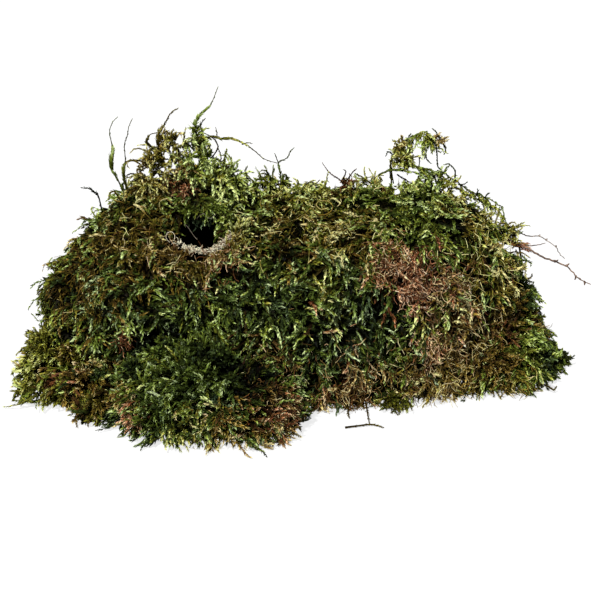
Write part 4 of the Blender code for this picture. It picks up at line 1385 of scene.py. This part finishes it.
def buds(route, shares, length, rng):
    """Short blunt side buds at shares of a route's length."""
    line = along_route(route, steps=6)[0]
    ahead = unit(np.gradient(line, axis=0))
    at = [int(share * (len(line) - 1)) for share in shares]
    sideways = unit(np.cross(ahead[at], rng.normal(0, 1, (len(at), 3))))
    tip = line[at] + length * (0.5 * ahead[at] + sideways) * rng.uniform(0.6, 1.3, (len(at), 1))
    lines = bent(line[at], (line[at] + tip) / 2 + 0.2 * ahead[at], tip, knots=3)
    hues, lights = np.full(len(at), RUST), np.full(len(at), 0.6)
    return stems(lines, hues, lights, root_radius=0.42, tip_radius=0.2, sides=5)[0]


rng = np.random.default_rng(71)
red_bark = bark_finish("red_bark", dark=(44, 34, 28), light=(108, 86, 70))
grey_bark = bark_finish("grey_bark", dark=(66, 60, 54), light=(130, 118, 108))
twig = joined([
    woody(TWIG_ROUTE, root_radius=0.5, tip_radius=0.16, rng=rng),
    woody(TWIG_STUB, root_radius=0.3, tip_radius=0.12, rng=rng),
    buds(TWIG_ROUTE, TWIG_BUDS, length=1.4, rng=rng),
])
make_piece("red_twig", twig, red_bark, "right_twig")

# Its reddish inner bark has come off in fibres near the mat
FIBRE_ROUTES = (
    ((67, 12.4, 47.4), (71.5, 12.8, 46), (74, 13.4, 45.6), (76.5, 14, 45.2)),
    ((67, 12.4, 47), (71.5, 13, 45.6), (73.8, 12.4, 44.8), (76.2, 11.6, 44)),
)
FIBRES_APART = (0.45, 0.4)
strips = np.concatenate([
    beside(along_route(route), 12, apart, rng) for route, apart in zip(FIBRE_ROUTES, FIBRES_APART)
])
hues = RUST + rng.normal(0, 0.02, len(strips))
lights = rng.uniform(0.5, 1.0, len(strips))
fibres = stems(strips, hues, lights, root_radius=0.18, tip_radius=0.1)[0]
make_piece("twig_fibres", fibres, crest_green, "right_twig")
runner = joined([
    woody(RUNNER_ROUTE, root_radius=0.26, tip_radius=0.14, rng=rng, knobs=0.08),
    buds(RUNNER_ROUTE, RUNNER_BUDS, length=0.8, rng=rng),
])
make_piece("grey_runner", runner, grey_bark, "thin_runner")

# The table, lights and camera
# A plain white table under soft light from above and in front, seen from a little above.
HALF_TABLE = 3.0
TABLE_CORNERS = ((-1, -1), (1, -1), (1, 1), (-1, 1))
TABLE_TONE, TABLE_GLOW = 0.1, 0.8
SKY_STRENGTH = 0.07
KEY_STRENGTH = 10.5
KEY_SIZE = math.radians(6)
KEY_TILT = (math.radians(34), math.radians(-18), 0)
LENS, SENSOR = 85, 36
CAMERA_TARGET = Vector((-1.83, 0.2, 30.4)) * MM
CAMERA_DISTANCE = 474.6 * MM
CAMERA_ELEVATION = math.radians(22)

table = bpy.data.meshes.new("table")
table.from_pydata([(HALF_TABLE * x, HALF_TABLE * y, 0) for x, y in TABLE_CORNERS], [], [(0, 1, 2, 3)])
floor = bpy.data.objects.new("table", table)
bpy.context.scene.collection.objects.link(floor)
white = bpy.data.materials.new("white_table")
white.use_nodes = True
paint = white.node_tree.nodes["Principled BSDF"]
paint.inputs["Base Color"].default_value = (TABLE_TONE, TABLE_TONE, TABLE_TONE, 1)
paint.inputs["Roughness"].default_value = 0.9
paint.inputs["Specular IOR Level"].default_value = 0.0
paint.inputs["Emission Color"].default_value = (1, 1, 1, 1)
paint.inputs["Emission Strength"].default_value = TABLE_GLOW
table.materials.append(white)

world = bpy.data.worlds.new("studio")
world.use_nodes = True
sky = world.node_tree.nodes["Background"]
sky.inputs["Color"].default_value = (1, 1, 1, 1)
sky.inputs["Strength"].default_value = SKY_STRENGTH
bpy.context.scene.world = world

key = bpy.data.lights.new("key", "SUN")
key.energy = KEY_STRENGTH
key.angle = KEY_SIZE
key_lamp = bpy.data.objects.new("key", key)
key_lamp.rotation_euler = KEY_TILT
bpy.context.scene.collection.objects.link(key_lamp)

view = bpy.data.cameras.new("view")
view.lens = LENS
view.sensor_width = SENSOR
view.clip_start = 0.01
camera = bpy.data.objects.new("view", view)
back = Vector((0, -math.cos(CAMERA_ELEVATION), math.sin(CAMERA_ELEVATION)))
camera.location = CAMERA_TARGET + back * CAMERA_DISTANCE
camera.rotation_euler = (math.pi / 2 - CAMERA_ELEVATION, 0, 0)
bpy.context.scene.collection.objects.link(camera)
bpy.context.scene.camera = camera
bpy.context.scene.view_settings.view_transform = "Standard"
